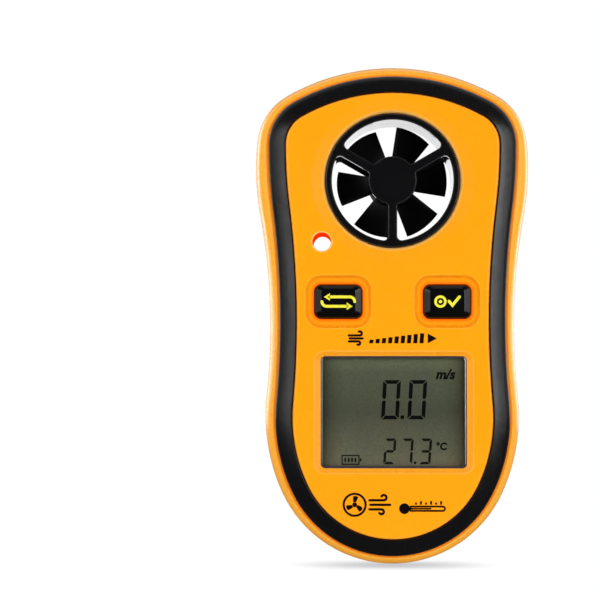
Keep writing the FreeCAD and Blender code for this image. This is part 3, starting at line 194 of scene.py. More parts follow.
# ------------------------------------------------------------------ materials
def plastic(name, colour, *, rough=0.4, vary=0.06, rough_vary=0.04, specular=0.5, grain=3500.0,
            grain_depth=0.000006, grain_strength=0.25, edge=0.00012, marks=0.0, coat=0.0,
            finish=None):
    """Moulded plastic or rubber: mottled colour, eroded grain, softened edges.

    marks adds rubbed streaks, and finish is a function that reworks the look by place.
    """
    net = new_net(name)
    shader = net.node("BsdfPrincipled")
    cloud = net.noise(scale=45.0)
    fine = net.noise(scale=grain, detail=2.0, rough=0.6)
    mottled = net.vary_colour(cloud, shade(colour, 1 - vary), shade(colour, 1 + vary))
    speck = net.ramp(fine, {0.35: grey(0.95), 0.65: grey(1.0)})
    look = SimpleNamespace(shader=shader, colour=net.tint(mottled, speck), specular=specular)
    look.rough = net.vary_value(net.noise(scale=160.0, detail=4.0),
                                low=rough - rough_vary, high=rough + rough_vary)
    if marks > 0:
        # noise drawn out along Z
        stretched = net.node("Mapping", {"Vector": net.coords, "Scale": (1.0, 1.0, 0.12)})
        streak = net.noise(scale=1400.0, detail=4.0, rough=0.7, at=stretched.outputs[0])
        look.rough = net.add(look.rough, net.remap(streak, span=(0.52, 0.72), to=(0.0, marks)))
    if finish:
        finish(net, look)
    if coat > 0:
        net.set(shader, {"Coat Weight": coat, "Coat Roughness": 0.08})
    net.set(shader, {
        "Base Color": look.colour,
        "Roughness": look.rough,
        "Specular IOR Level": look.specular,
        "Normal": net.bump(fine, grain_strength, grain_depth, base=net.bevel(edge)),
    })
    return net.finish(shader)


def facing(net):
    """Geometry node, how far the surface faces +-Y, and a mask of walls parallel to Y."""
    geometry = net.node("NewGeometry")
    facing_y = net.absolute(net.split(geometry.outputs["True Normal"])[1])
    return geometry, facing_y, net.remap(facing_y, span=(0.05, 0.30), to=(1.0, 0.0))


def dull_flats(net, look, facing_y):
    """Faces square to Y are eroded and reflect less."""
    flat = net.remap(facing_y, span=(0.965, 0.99), to=(1.0, 0.3))
    look.specular = net.multiply(look.specular, flat)


def duct_finish(net, look):
    """Polished walls, eroded faces, a dull line where the two barrels meet, a painted reflection
    in the bore and painted highlights on the edges.
    """
    joint_offset = 0.0004       # the joint lies this far towards the front
    joint_dulling = 0.65        # share of the polish lost at the joint
    wall_specular = 0.45        # specular added by full polish
    geometry, facing_y, wall = facing(net)
    y = net.split(net.coords)[1]
    joint = net.remap(net.absolute(net.add(y, joint_offset)),
                      span=(0.0002, 0.0006), to=(1.0, 0.0))
    lost = net.multiply(wall, net.multiply(joint, joint_dulling))
    polish = net.subtract(wall, lost)
    look.rough = net.mix_value(polish, look.rough, second=0.10)
    look.specular = net.add(net.multiply(polish, wall_specular), look.specular)
    # painted reflection: seen from behind, the bore glows by emission as if it carried the sheen
    # of the bright room in front
    incoming_y = net.split(geometry.outputs["Incoming"])[1]
    reflected = net.multiply(polish, net.fresnel(ior=1.5))
    painted_sheen = net.multiply(net.remap(incoming_y, span=(0.85, 0.97)), reflected)
    net.set(look.shader, {"Emission Color": grey(1.0), "Emission Strength": painted_sheen})
    # painted highlight: moulded edges are lightened in colour as if they caught the light
    match = net.edge_match(geometry, radius=0.00035)
    edge = net.remap(match, span=(0.88, 0.98), to=(0.8, 0.0))
    look.colour = net.mix(edge, look.colour, second=(0.085, 0.088, 0.095))
    dull_flats(net, look, facing_y)


ORANGE = (0.95, 0.352, 0.0035)
PAINTED_GAP_ORANGE = (0.90, 0.085, 0.002)      # painted shade and glow in holes and gaps
FLANK_HIGHLIGHT_ORANGE = (1.0, 0.50, 0.05)         # painted highlight on the flanks
EDGE_HIGHLIGHT_ORANGE = (1.0, 0.66, 0.20)       # painted highlight on edges
# painted shade in creases and round the keys
CREASE_SHADE_ORANGE = [c * k for c, k in zip(ORANGE, (0.93, 0.33, 0.2))]
PARTING_ORANGE = [c * k for c, k in zip(ORANGE, (0.32, 0.14, 0.2))]

STRAP_X, STRAP_Z = -0.01485, 0.0680     # axis of the strap hole
VANE_Z = 0.0809                         # axis of the vane, at X = 0
KEY_X, KEY_Z = 0.0114, 0.05545          # centre of a key, mirrored in X
LIP_RADIUS = 0.01476                    # outer edge of the lip round the duct, front


def case_finish(net, look):
    """Orange case with painted light: painted shade and glow in holes and creases, painted
    highlights on the flanks and edges.
    """
    hole_glow, wall_glow, crease_glow = 0.35, 0.06, 0.17    # strengths of the painted glow, by emission
    lip_highlight = 0.50             # strength of the painted highlight on the duct lip
    key_half_straight = 0.00355     # half the straight top of a key and its surround
    surround_half_height, key_half_height = 0.0022, 0.0021  # half their straight sides
    key_corner = 0.0014         # corner radius of a key
    geometry, facing_y, wall = facing(net)
    x, y, z = net.split(net.coords)

    # painted shade and a painted glow on the walls of gaps, and in the strap hole
    painted_gap = net.multiply(wall, net.remap(net.openness(distance=0.004),
                                        span=(0.45, 0.85), to=(0.55, 0.0)))
    strap = net.length(net.subtract(x, STRAP_X), net.subtract(z, STRAP_Z))
    hole = net.remap(strap, span=(0.00196, 0.00202), to=(1.0, 0.0))
    painted_gap = net.maximum(painted_gap, hole)
    look.colour = net.mix(painted_gap, look.colour, PAINTED_GAP_ORANGE)
    look.specular = net.subtract(look.specular, net.multiply(painted_gap, look.specular))

    # lip round the duct, on the front, which gets a painted highlight
    vane = net.length(x, net.subtract(z, VANE_Z))
    lip = net.multiply(
        net.remap(vane, span=(LIP_RADIUS - 0.00012, LIP_RADIUS + 0.00008), to=(1.0, 0.0)),
        net.remap(facing_y, span=(0.25, 0.5)))
    lip = net.multiply(lip, net.remap(y, span=(-0.004, 0.0), to=(1.0, 0.0)))

    # painted shade in creases, save on the lip; the rounded flanks stay bright right up to the
    # grip band
    near = net.openness(distance=0.0009)
    crease_shade = net.remap(near, span=(0.58, 0.94), to=(0.85, 0.0))
    crease_shade = net.multiply(crease_shade, net.invert(lip))
    crease_shade = net.multiply(crease_shade, net.remap(facing_y, span=(0.86, 0.96), to=(0.12, 1.0)))
    match = net.edge_match(geometry, radius=0.0004)

    # painted shade on the sunk key surrounds: deeper orange at their outline and close to the key
    key_x = net.absolute(net.subtract(net.absolute(x), KEY_X))
    key_z = net.absolute(net.subtract(z, KEY_Z))

    def beyond(half_height):
        """Distance outside the straight-sided core of a rounded rectangle."""
        over_x = net.maximum(net.subtract(key_x, key_half_straight), 0.0)
        over_z = net.maximum(net.subtract(key_z, half_height), 0.0)
        return net.length(over_x, over_z)

    sunk = net.remap(beyond(surround_half_height), span=(0.00332, 0.00342), to=(1.0, 0.0))
    sunk = net.multiply(sunk, net.remap(y, span=(-0.006, -0.004), to=(1.0, 0.0)))
    from_key = net.subtract(beyond(key_half_height), key_corner)
    key_shade = net.maximum(net.remap(from_key, span=(0.00015, 0.0010), to=(1.0, 0.05)),
                       net.remap(match, span=(0.90, 0.985), to=(0.45, 0.0)))
    crease_shade = net.maximum(crease_shade, net.multiply(sunk, key_shade))
    look.colour = net.mix(crease_shade, look.colour, CREASE_SHADE_ORANGE)

    # painted highlight on the flanks, painted shade deepening towards the middle of the strap
    # hole, and a fine line between the shells
    depth = net.absolute(y)
    side = net.multiply(net.remap(depth, span=(0.0084, 0.0088), to=(0.40, 0.0)),
                        net.invert(net.maximum(painted_gap, crease_shade)))
    look.colour = net.mix(side, look.colour, FLANK_HIGHLIGHT_ORANGE)
    fade = net.remap(depth, span=(0.0015, 0.0095), to=(0.50, 1.0))
    dim = net.multiply(hole, net.invert(fade))
    look.colour = net.mix(dim, look.colour, shade(PAINTED_GAP_ORANGE, factor=0.60))
    parting = net.multiply(wall, net.remap(depth, span=(0.00007, 0.00017), to=(0.85, 0.0)))
    look.colour = net.mix(parting, look.colour, PARTING_ORANGE)
    # painted glow by emission in the strap hole, on the walls of gaps and in the creases
    glow = net.add(net.multiply(net.multiply(hole, fade), hole_glow),
                   net.multiply(painted_gap, wall_glow))
    glow = net.add(glow, net.multiply(crease_shade, crease_glow))
    net.set(look.shader, {"Emission Color": PAINTED_GAP_ORANGE, "Emission Strength": glow})

    # painted highlight: outer edges, the mouth of the strap hole and the lip are painted lighter
    edge_highlight = net.multiply(net.remap(match, span=(0.90, 0.985), to=(0.75, 0.0)),
                          net.remap(near, span=(0.90, 0.985)))
    mouth = net.multiply(net.remap(strap, span=(0.00198, 0.00204)),
                         net.remap(strap, span=(0.00232, 0.00240), to=(1.0, 0.0)))
    mouth = net.multiply(mouth, net.remap(facing_y, span=(0.80, 0.97), to=(1.0, 0.0)))
    edge_highlight = net.maximum(edge_highlight, mouth)
    edge_highlight = net.maximum(edge_highlight, net.multiply(lip, lip_highlight))
    edge_highlight = net.multiply(edge_highlight, net.invert(sunk))
    look.colour = net.mix(edge_highlight, look.colour, EDGE_HIGHLIGHT_ORANGE)
    dull_flats(net, look, facing_y)


def metal(name, colour, *, rough, vary=0.12):
    """Metal with an uneven tone and fine roughness."""
    net = new_net(name)
    shader = net.node("BsdfPrincipled", {
        "Base Color": net.vary_colour(net.noise(scale=900.0),
                                      shade(colour, 1 - vary), shade(colour, 1 + vary)),
        "Metallic": 1.0,
        "Roughness": net.vary_value(net.noise(scale=2500.0), low=rough * 0.7, high=rough * 1.4),
        "Normal": net.bump(net.noise(scale=6000.0, detail=2.0), strength=0.2,
                           distance=0.000004, base=net.bevel(radius=0.00005)),
    })
    return net.finish(shader)


def printed(name, colour, *, rough, specular, glow=0.0):
    """Screen-printed ink: slightly uneven coverage; glow adds a painted glow by emission."""
    net = new_net(name)
    ink = net.vary_colour(net.noise(scale=5000.0, detail=2.0),
                          shade(colour, factor=0.85), shade(colour, factor=1.1))
    shader = net.node("BsdfPrincipled", {
        "Base Color": ink,
        "Roughness": net.vary_value(net.noise(scale=2000.0), low=rough - 0.05, high=rough + 0.08),
        "Specular IOR Level": specular,
    })
    if glow > 0:
        net.set(shader, {"Emission Color": ink, "Emission Strength": glow})
    return net.finish(shader)


def lens_material():
    """Clear acrylic: transparent, with a Fresnel reflection on its outer side and faint haze."""
    net = new_net("lens_clear")
    clear = net.node("BsdfTransparent", {
        "Color": net.vary_colour(net.noise(scale=60.0), (0.95, 0.97, 0.97), (0.98, 0.99, 0.99)),
    })
    gloss = net.node("BsdfGlossy", {
        "Color": grey(1.0),
        "Roughness": net.vary_value(net.noise(scale=300.0), low=0.03, high=0.09),
    })
    outer = net.invert(net.node("NewGeometry").outputs["Backfacing"])
    reflection = net.multiply(net.fresnel(ior=1.49), outer)
    return net.finish(net.node("MixShader", {
        0: reflection, 1: clear.outputs[0], 2: gloss.outputs[0],
    }))


def lcd_material():
    """Liquid-crystal panel: olive grey, with painted shade towards its edges and a fine speckle.
    """
    window_x, window_z = centre_of("lcd_glass")[0] * MM, 32.3 * MM
    half_width, half_height = 15.3 * MM, 11.75 * MM
    bottom, top = 20.5 * MM, 44.1 * MM          # reach of the vertical shading
    net = new_net("lcd_olive")
    x, _, z = net.split(net.coords)
    from_side = net.subtract(half_width, net.absolute(net.subtract(x, window_x)))
    from_end = net.subtract(half_height, net.absolute(net.subtract(z, window_z)))
    inside = net.remap(net.math("MINIMUM", from_side, from_end), span=(0.0, 0.0008))
    clear_of_side = net.remap(from_side, span=(0.0, 0.0048))
    colour = net.ramp(net.remap(z, span=(bottom, top)), {
        0.0: (0.200, 0.176, 0.110),
        0.16: (0.140, 0.132, 0.083),
        0.5: (0.079, 0.082, 0.051),
        0.85: (0.104, 0.111, 0.067),
        1.0: (0.170, 0.182, 0.108),
    })
    speckle = net.vary_colour(net.noise(scale=2600.0, detail=2.0), grey(0.76), grey(0.96))
    colour = net.tint(colour, speckle)
    warmth = net.ramp(net.noise(scale=90.0, detail=2.0),
                      {0.35: (1.05, 1.0, 0.96), 0.65: (0.94, 0.99, 1.0)})
    colour = net.tint(colour, warmth)
    # painted shade: darker near the sides and in a thin strip round the edge, where the recess
    # shades the panel
    colour = net.mix(clear_of_side, net.tint(colour, (0.70, 0.64, 0.54)), colour)
    colour = net.mix(inside, net.tint(colour, (0.60, 0.42, 0.25)), colour)
    return net.finish(net.node("BsdfPrincipled", {
        "Base Color": colour,
        "Roughness": 0.42,
        "Specular IOR Level": 0.12,
        "Normal": net.bump(net.noise(scale=5000.0, detail=2.0), strength=0.1,
                           distance=0.000003),
    }))


def sticker_material():
    net = new_net("sticker_white")
    return net.finish(net.node("BsdfPrincipled", {
        "Base Color": net.vary_colour(net.noise(scale=300.0),
                                      (0.72, 0.66, 0.78), (0.82, 0.78, 0.86)),
        "Roughness": 0.35,
        "Normal": net.bump(net.noise(scale=1500.0), strength=0.2, distance=0.000005),
    }))


def lens_edge_material():
    """Polished edge of the acrylic lens: cool, bright reflections over a dark core."""
    net = new_net("lens_edge")
    return net.finish(net.node("BsdfPrincipled", {
        "Base Color": net.vary_colour(net.noise(scale=400.0),
                                      (0.030, 0.036, 0.050), (0.045, 0.052, 0.070)),
        "Roughness": net.vary_value(net.noise(scale=900.0), low=0.14, high=0.24),
        "IOR": 2.3,
        "Specular Tint": (0.86, 0.92, 1.0),
    }))


# by material slot
MATERIALS = {
    "case_plastic": plastic("case_orange", ORANGE, rough=0.27, vary=0.02, specular=0.34,
                            grain=3200, grain_depth=0.000010, grain_strength=0.14,
                            edge=0.00022, finish=case_finish),
    "grip_rubber": plastic("grip_black", (0.0042, 0.0042, 0.0050), rough=0.22, vary=0.10,
                           grain=2600, grain_strength=0.22, edge=0.00015, rough_vary=0.03,
                           marks=0.08),
    "duct_plastic": plastic("vane_black", (0.0045, 0.0045, 0.0052), rough=0.19, vary=0.10,
                            specular=0.55, grain=2500, grain_strength=0.12, edge=0.00028,
                            finish=duct_finish),
    "rotor_plastic": plastic("rotor_black", (0.0035, 0.0035, 0.0040), rough=0.55, vary=0.10,
                             specular=0.12, grain=2500, grain_strength=0.15, edge=0.00008),
    "key_gloss": plastic("key_black", (0.0022, 0.0021, 0.0024), rough=0.16, vary=0.10,
                         specular=0.35, grain=1500, grain_depth=0.000003,
                         grain_strength=0.10, edge=0.00025, coat=0.25),
    "bush_brass": metal("bush_brass", (0.80, 0.60, 0.27), rough=0.28),
    "shaft_steel": metal("shaft_steel", (0.70, 0.70, 0.72), rough=0.18),
    "magnet": metal("magnet_ferrite", (0.10, 0.10, 0.11), rough=0.5),
    "chip_black": plastic("chip_black", (0.02, 0.02, 0.022), rough=0.55, grain=5000),
    "ribbon": plastic("ribbon_dark", (0.05, 0.035, 0.02), rough=0.35, grain=3000),
    "thermistor_bead": plastic("bead_black", grey(0.03), rough=0.2),
    "lead_wire": metal("lead_wire", grey(0.75), rough=0.25),
    "tape_black": plastic("tape_black", grey(0.02), rough=0.8),
    "holder_white": plastic("holder_white", (0.80, 0.80, 0.77), rough=0.5),
    "zebra_rubber": plastic("zebra_rubber", (0.55, 0.40, 0.40), rough=0.6),
    "board_green": plastic("board_green", (0.02, 0.18, 0.06), rough=0.3, vary=0.2),
    "screw_steel": metal("screw_steel", (0.78, 0.78, 0.79), rough=0.25),
    "screw_brass": metal("screw_bronze", (0.42, 0.17, 0.06), rough=0.32, vary=0.25),
    "switch_body": plastic("switch_body", grey(0.03), rough=0.5),
    "switch_plunger": plastic("switch_plunger", grey(0.015), rough=0.4),
    "can_steel": metal("can_steel", grey(0.72), rough=0.25),
    "cell_steel": metal("cell_steel", (0.78, 0.78, 0.80), rough=0.22),
    "contact_steel": metal("contact_steel", (0.75, 0.73, 0.68), rough=0.25),
    "lens_clear": lens_material(),
    "lcd_panel": lcd_material(),
    "sticker_film": sticker_material(),
}

material_of = {part["node"]: part["material_slot"] for part in frame["record"]["subparts"]}
material_of["vane_rotor"] = "rotor_plastic"     # duller than the duct that shares its slot
for name, piece in CAD.items():
    piece.data.materials.clear()
    piece.data.materials.append(MATERIALS[material_of[name]])
    for polygon in piece.data.polygons:
        polygon.material_index = 0

INK = printed("ink_dark", (0.0030, 0.0018, 0.0016), rough=0.4, specular=0.12)
KEY_INK = printed("key_yellow", (0.78, 0.72, 0.045), rough=0.4, specular=0.2, glow=0.10)
SEGMENT = printed("segment_dark", (0.0014, 0.0011, 0.0016), rough=0.6, specular=0.05)
SEGMENT_FAINT = printed("segment_faint", (0.0065, 0.0042, 0.0024), rough=0.6, specular=0.05)


# ------------------------------------------------------------------- outlines
def polar(x, z, radius, degrees):
    angle = math.radians(degrees)
    return x + radius * math.cos(angle), z + radius * math.sin(angle)


def arc(x, z, radius, start, end, steps):
    return [polar(x, z, radius, start + (end - start) * i / steps) for i in range(steps + 1)]


def disc(x, z, radius, sides):
    return [polar(x, z, radius, 360 * i / sides) for i in range(sides)]


def rectangle(left, bottom, right, top):
    return [(left, bottom), (right, bottom), (right, top), (left, top)]


def rounded(x, z, width, height, radius, steps=8):
    """Rectangle with round corners, centred on (x, z)."""
    points = []
    for side, up, start in ((1, 1, 0), (-1, 1, 90), (-1, -1, 180), (1, -1, 270)):
        points += arc(x + side * (width / 2 - radius), z + up * (height / 2 - radius),
                      radius, start, start + 90, steps)
    return points


# ------------------------------------------------------------------- builders
def plane_on(node, side, lift=0.0):
    """Map (x, z, height) in mm to a point raised outwards from a face of a CAD piece."""
    low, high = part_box(node)
    level = (low.y if side == FRONT else high.y) / MM + side * lift
    return lambda x, z, height: Vector((x * MM, (level + side * height) * MM, z * MM))


def mesh_object(name, mesh, material, body):
    data = bpy.data.meshes.new(name)
    bmesh.ops.recalc_face_normals(mesh, faces=mesh.faces)
    mesh.to_mesh(data)
    mesh.free()
    made = bpy.data.objects.new(name, data)
    bpy.context.scene.collection.objects.link(made)
    data.materials.append(material)
    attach(made, body)


class Relief:
    """Raised shapes of one height on one plane, gathered into one object."""

    def __init__(self, place, height):
        self.mesh = bmesh.new()
        self.place = place
        self.height = height

    def loop(self, outline, height):
        return [self.mesh.verts.new(self.place(x, z, height)) for x, z in outline]

    def join(self, loops):
        """Quads between neighbouring loops, the last joined to the first."""
        for low, high in zip(loops, loops[1:] + loops[:1]):
            for i in range(len(low)):
                j = (i + 1) % len(low)
                self.mesh.faces.new((low[i], low[j], high[j], high[i]))

    def slab(self, outline):
        """Prism over one outline."""
        count = len(outline)
        area = sum(a[0] * b[1] - b[0] * a[1] for a, b in zip(outline, outline[1:] + outline[:1]))
        if area < 0:
            outline = outline[::-1]
        low = self.loop(outline, 0.0)
        top = self.loop(outline, self.height)
        self.mesh.faces.new(low[::-1])
        self.mesh.faces.new(top)
        for i in range(count):
            j = (i + 1) % count
            self.mesh.faces.new((low[i], low[j], top[j], top[i]))

    def band(self, outer, inner):
        """Closed band between two outlines with the same number of points."""
        outer_low, outer_top = self.loop(outer, 0.0), self.loop(outer, self.height)
        inner_low, inner_top = self.loop(inner, 0.0), self.loop(inner, self.height)
        self.join([outer_low, outer_top, inner_top, inner_low])

    def stroke(self, line, width):
        """Ribbon of even width along an open line, with mitred bends and round ends."""
        half = width / 2
        line = [Vector(point) for point in line]
        steps = [(b - a).normalized() for a, b in zip(line, line[1:])]
        left, right = [], []
        for point, before, after in zip(line, steps[:1] + steps, steps + steps[-1:]):
            ahead = (before + after).normalized()
            mitre = max(0.35, abs(ahead.dot(before)))
            offset = Vector((-ahead.y, ahead.x)) * (half / mitre)
            left.append(point + offset)
            right.append(point - offset)

        def round_end(centre, corner):
            start = math.degrees(math.atan2(corner.y - centre.y, corner.x - centre.x))
            return arc(centre.x, centre.y, half, start, start - 180, steps=6)[1:-1]

        self.slab(left + round_end(line[-1], left[-1])
                  + right[::-1] + round_end(line[0], right[0]))

    def wind_line(self, start, end, z, curl, last_angle, width):
        """Line that ends in a hook: up for a positive curl radius, down for a negative one."""
        line = [(start, z), (end, z)]
        if curl:
            for degrees in range(30, last_angle + 1, 30):
                angle = math.radians(degrees)
                line.append((end + abs(curl) * math.sin(angle),
                             z + curl - curl * math.cos(angle)))
        self.stroke(line, width)

    def build(self, name, material, body):
        mesh_object(name, self.mesh, material, body)


SEGMENT_HEIGHT = 0.012


def lettering(name, text, centre, place, material, *, size, bold, shear=0.0, turn=0.0,
              mirror=False):
    """Sign on the case, cut as a thin raised shape from the built-in lettering."""
    curve = bpy.data.curves.new(name, "FONT")
    curve.body = text
    curve.size = size
    curve.shear = shear
    curve.offset = bold
    curve.resolution_u = 4
    curve.fill_mode = "FRONT"
    text_object = bpy.data.objects.new(name + "_tmp", curve)
    bpy.context.scene.collection.objects.link(text_object)
    bpy.context.view_layer.update()
    depsgraph = bpy.context.evaluated_depsgraph_get()
    flat = bpy.data.meshes.new_from_object(text_object.evaluated_get(depsgraph))
    bpy.data.objects.remove(text_object)
    mesh = bmesh.new()
    mesh.from_mesh(flat)
    bpy.data.meshes.remove(flat)
    bmesh.ops.remove_doubles(mesh, verts=mesh.verts, dist=1e-5)
    bmesh.ops.dissolve_limit(mesh, angle_limit=0.01, verts=mesh.verts, edges=mesh.edges)
    across = [vert.co.x for vert in mesh.verts]
    along = [vert.co.y for vert in mesh.verts]
    middle_x = (min(across) + max(across)) / 2
    middle_y = (min(along) + max(along)) / 2
    cosine, sine = math.cos(math.radians(turn)), math.sin(math.radians(turn))
    extruded = bmesh.ops.extrude_face_region(mesh, geom=list(mesh.faces))
    lifted = {item for item in extruded["geom"] if isinstance(item, bmesh.types.BMVert)}
    for vert in mesh.verts:
        x, y = vert.co.x - middle_x, vert.co.y - middle_y
        if mirror:
            x = -x
        vert.co = place(centre[0] + x * cosine - y * sine, centre[1] + x * sine + y * cosine,
                        SEGMENT_HEIGHT if vert in lifted else 0.0)
    mesh_object(name, mesh, material, "case")


# ------------------------------------------------------------ display content
glass = plane_on("lcd_glass", FRONT)


def seven_segment(relief, left, bottom, lit, *, width, height, bar, gap, slant):
    """Digit with its lower left corner at (left, bottom); lit names the segments a to g."""
    lean = math.tan(math.radians(slant))
    middle = height / 2
    tip = bar * 0.55
    corner = gap + tip * 0.3

    def flip_x(points):
        return [(width - x, z) for x, z in points]

    def flip_z(points):
        return [(x, height - z) for x, z in points]

    top = [(corner, height), (width - corner, height),
           (width - gap - bar, height - bar), (gap + bar, height - bar)]
    upper_left = [(0, height - corner), (bar, height - gap - bar),
                  (bar, middle + gap + bar * 0.35), (bar * 0.5, middle + gap),
                  (0, middle + gap + bar * 0.5)]
    near, far, half_bar = gap + tip, width - gap - tip, bar / 2
    centre = [(near, middle), (near + half_bar, middle + half_bar),
              (far - half_bar, middle + half_bar), (far, middle),
              (far - half_bar, middle - half_bar), (near + half_bar, middle - half_bar)]
    segments = {
        "a": top, "d": flip_z(top), "g": centre, "f": upper_left, "b": flip_x(upper_left),
        "e": flip_z(upper_left), "c": flip_x(flip_z(upper_left)),
    }
    for letter in lit:
        relief.slab([(left + x + z * lean, bottom + z) for x, z in segments[letter]])


# speed: 0.0
SPEED_STYLE = dict(width=3.72, height=8.22, bar=0.78, gap=0.08, slant=3.4)
speed = Relief(glass, SEGMENT_HEIGHT)
for left in (-2.46, 3.06):
    seven_segment(speed, left, 30.78, "abcdef", **SPEED_STYLE)
speed.slab([(1.62, 30.86), (2.38, 30.86), (2.42, 31.60), (1.66, 31.60)])
speed.build("lcd_speed_digits", SEGMENT, "case")

# temperature: 27.3
TEMPERATURE_STYLE = dict(width=2.42, height=5.42, bar=0.53, gap=0.06, slant=4.2)
temperature = Relief(glass, SEGMENT_HEIGHT)
for left, lit in ((-2.02, "abged"), (1.62, "abc"), (5.48, "abgcd")):
    seven_segment(temperature, left, 21.34, lit, **TEMPERATURE_STYLE)
temperature.slab([(4.42, 21.40), (4.94, 21.40), (4.97, 21.92), (4.45, 21.92)])
temperature.build("lcd_temperature_digits", SEGMENT_FAINT, "case")

# battery symbol: outline, nib and four bars
CELL_LEFT, CELL_BOTTOM, CELL_RIGHT, CELL_TOP = -10.75, 21.22, -6.95, 23.30
CELL_LINE = 0.26
NIB_LEFT, NIB_RIGHT = CELL_RIGHT + 0.08, CELL_RIGHT + 0.42
BAR_INSET, BAR_PITCH, BAR_WIDTH = 0.62, 0.70, 0.40
battery = Relief(glass, SEGMENT_HEIGHT)
battery.band(rectangle(CELL_LEFT, CELL_BOTTOM, CELL_RIGHT, CELL_TOP),
             rectangle(CELL_LEFT + CELL_LINE, CELL_BOTTOM + CELL_LINE,
                       CELL_RIGHT - CELL_LINE, CELL_TOP - CELL_LINE))
battery.slab([(NIB_LEFT, 21.85), (NIB_RIGHT, 22.10), (NIB_RIGHT, 22.42), (NIB_LEFT, 22.67)])
for i in range(4):
    left = CELL_LEFT + BAR_INSET + i * BAR_PITCH
    battery.slab(rectangle(left, 21.82, left + BAR_WIDTH, 22.68))
battery.build("lcd_battery_symbol", SEGMENT_FAINT, "case")

lettering("lcd_speed_unit", "m/s", (11.12, 40.25), glass, SEGMENT,
          size=2.75, bold=0.11, shear=0.25)
lettering("lcd_temperature_unit", "°C", (10.28, 25.15), glass, SEGMENT,
          size=2.05, bold=0.09, shear=0.05)

# raised ring round the window
LENS_WIDTH, LENS_HEIGHT, LENS_CORNER = 30.56, 23.46, 0.98
# (inset from the outline, height above the lens)
BEVEL_SECTION = [(0.0, 0.012), (0.0, 0.05), (0.36, 0.143), (0.42, 0.135), (0.44, 0.012)]
bevel = Relief(plane_on("lcd_lens", FRONT), 0.0)
bevel.join([
    bevel.loop(rounded(*centre_of("lcd_lens"), LENS_WIDTH - 2 * inset, LENS_HEIGHT - 2 * inset,
                       max(0.05, LENS_CORNER - inset)), height)
    for inset, height in BEVEL_SECTION
])
bevel.build("lens_bevel", lens_edge_material(), "case")

# ------------------------------------------------------- prints on case front
PRINT_LIFT = 0.002      # clearance between a face and its print
INK_HEIGHT = 0.015
case_front = plane_on("front_case", FRONT, PRINT_LIFT)

# wind scale above the display: a swirl, bars that grow, then a pointer
SCALE_LEFT, SCALE_Z, SCALE_HALF = -9.2, 47.75, 1.02
SCALE_BARS, SCALE_PITCH = 9, 1.32
scale = Relief(case_front, INK_HEIGHT)
# (start, end, height, curl radius), from the left end of the scale
for start, end, rise, curl in ((0.0, 2.3, 0.62, 0.42), (0.2, 2.9, 0.0, 0.0),
                               (0.0, 2.0, -0.62, -0.36)):
    scale.wind_line(SCALE_LEFT + start, SCALE_LEFT + end, SCALE_Z + rise, curl,
                    last_angle=210, width=0.48)
foot = SCALE_Z - SCALE_HALF
for i in range(SCALE_BARS):
    x = SCALE_LEFT + 4.3 + i * SCALE_PITCH
    top = foot + 0.75 + 1.35 * (i / (SCALE_BARS - 1))
    scale.slab([(x - 0.08, foot), (x + 0.76, foot), (x + 0.90, top), (x + 0.06, top)])
x = SCALE_LEFT + 16.5
scale.slab([(x, foot), (x + 1.9, SCALE_Z), (x, SCALE_Z + SCALE_HALF)])
scale.build("print_wind_scale", INK, "case")

# vane sign, lower left: ring, hub and three blades
SIGN_X, SIGN_Z = -8.0, 13.0
# (radius, degrees from the blade's middle)
BLADE = ((0.62, -28), (1.75, -26), (1.88, -10), (1.80, 8), (1.35, 16), (0.62, 28))
vane_sign = Relief(case_front, INK_HEIGHT)
vane_sign.band(disc(SIGN_X, SIGN_Z, radius=2.52, sides=40),
               disc(SIGN_X, SIGN_Z, radius=2.06, sides=40))
vane_sign.slab(disc(SIGN_X, SIGN_Z, radius=0.50, sides=24))
for middle in (90, 210, 330):
    vane_sign.slab([polar(SIGN_X, SIGN_Z, radius, middle + turn) for radius, turn in BLADE])
vane_sign.build("print_vane_sign", INK, "case")

# wind lines beside it: (start, end, height above the vane sign's centre, curl radius)
wind_lines = Relief(case_front, INK_HEIGHT)
for start, end, rise, curl in ((-4.9, -1.9, 0.95, 0.55), (-4.7, -0.6, 0.0, 0.0),
                               (-4.9, -2.4, -0.95, -0.50)):
    wind_lines.wind_line(start, end, SIGN_Z + rise, curl, last_angle=240, width=0.50)
wind_lines.build("print_wind_lines", INK, "case")

# thermometer sign, lower right, lying with its bulb to the left
BULB_X, BULB_Z = 2.4, 12.2
STEM_END = BULB_X + 8.0


def stem(start, half_width):
    bottom, top = BULB_Z - half_width, BULB_Z + half_width
    return ([(BULB_X + start, bottom), (STEM_END, bottom)]
            + arc(STEM_END, BULB_Z, half_width, -80, 80, steps=8)
            + [(STEM_END, top), (BULB_X + start, top)])


thermometer = Relief(case_front, INK_HEIGHT)
thermometer.slab(disc(BULB_X, BULB_Z, radius=1.12, sides=32))
thermometer.band(stem(start=1.1, half_width=0.64), stem(start=1.4, half_width=0.26))
for i in range(6):
    left = BULB_X + 2.2 + i * 1.05
    tick_top = BULB_Z + (1.60 if i % 2 else 1.28)
    thermometer.slab(rectangle(left, BULB_Z + 0.84, left + 0.40, tick_top))
thermometer.slab(rectangle(BULB_X + 0.9, BULB_Z - 0.16, BULB_X + 5.6, BULB_Z + 0.16))
thermometer.build("print_thermometer_sign", INK, "case")

# ------------------------------------------------------------------ key signs
key_face = plane_on("mode_button", FRONT, PRINT_LIFT)

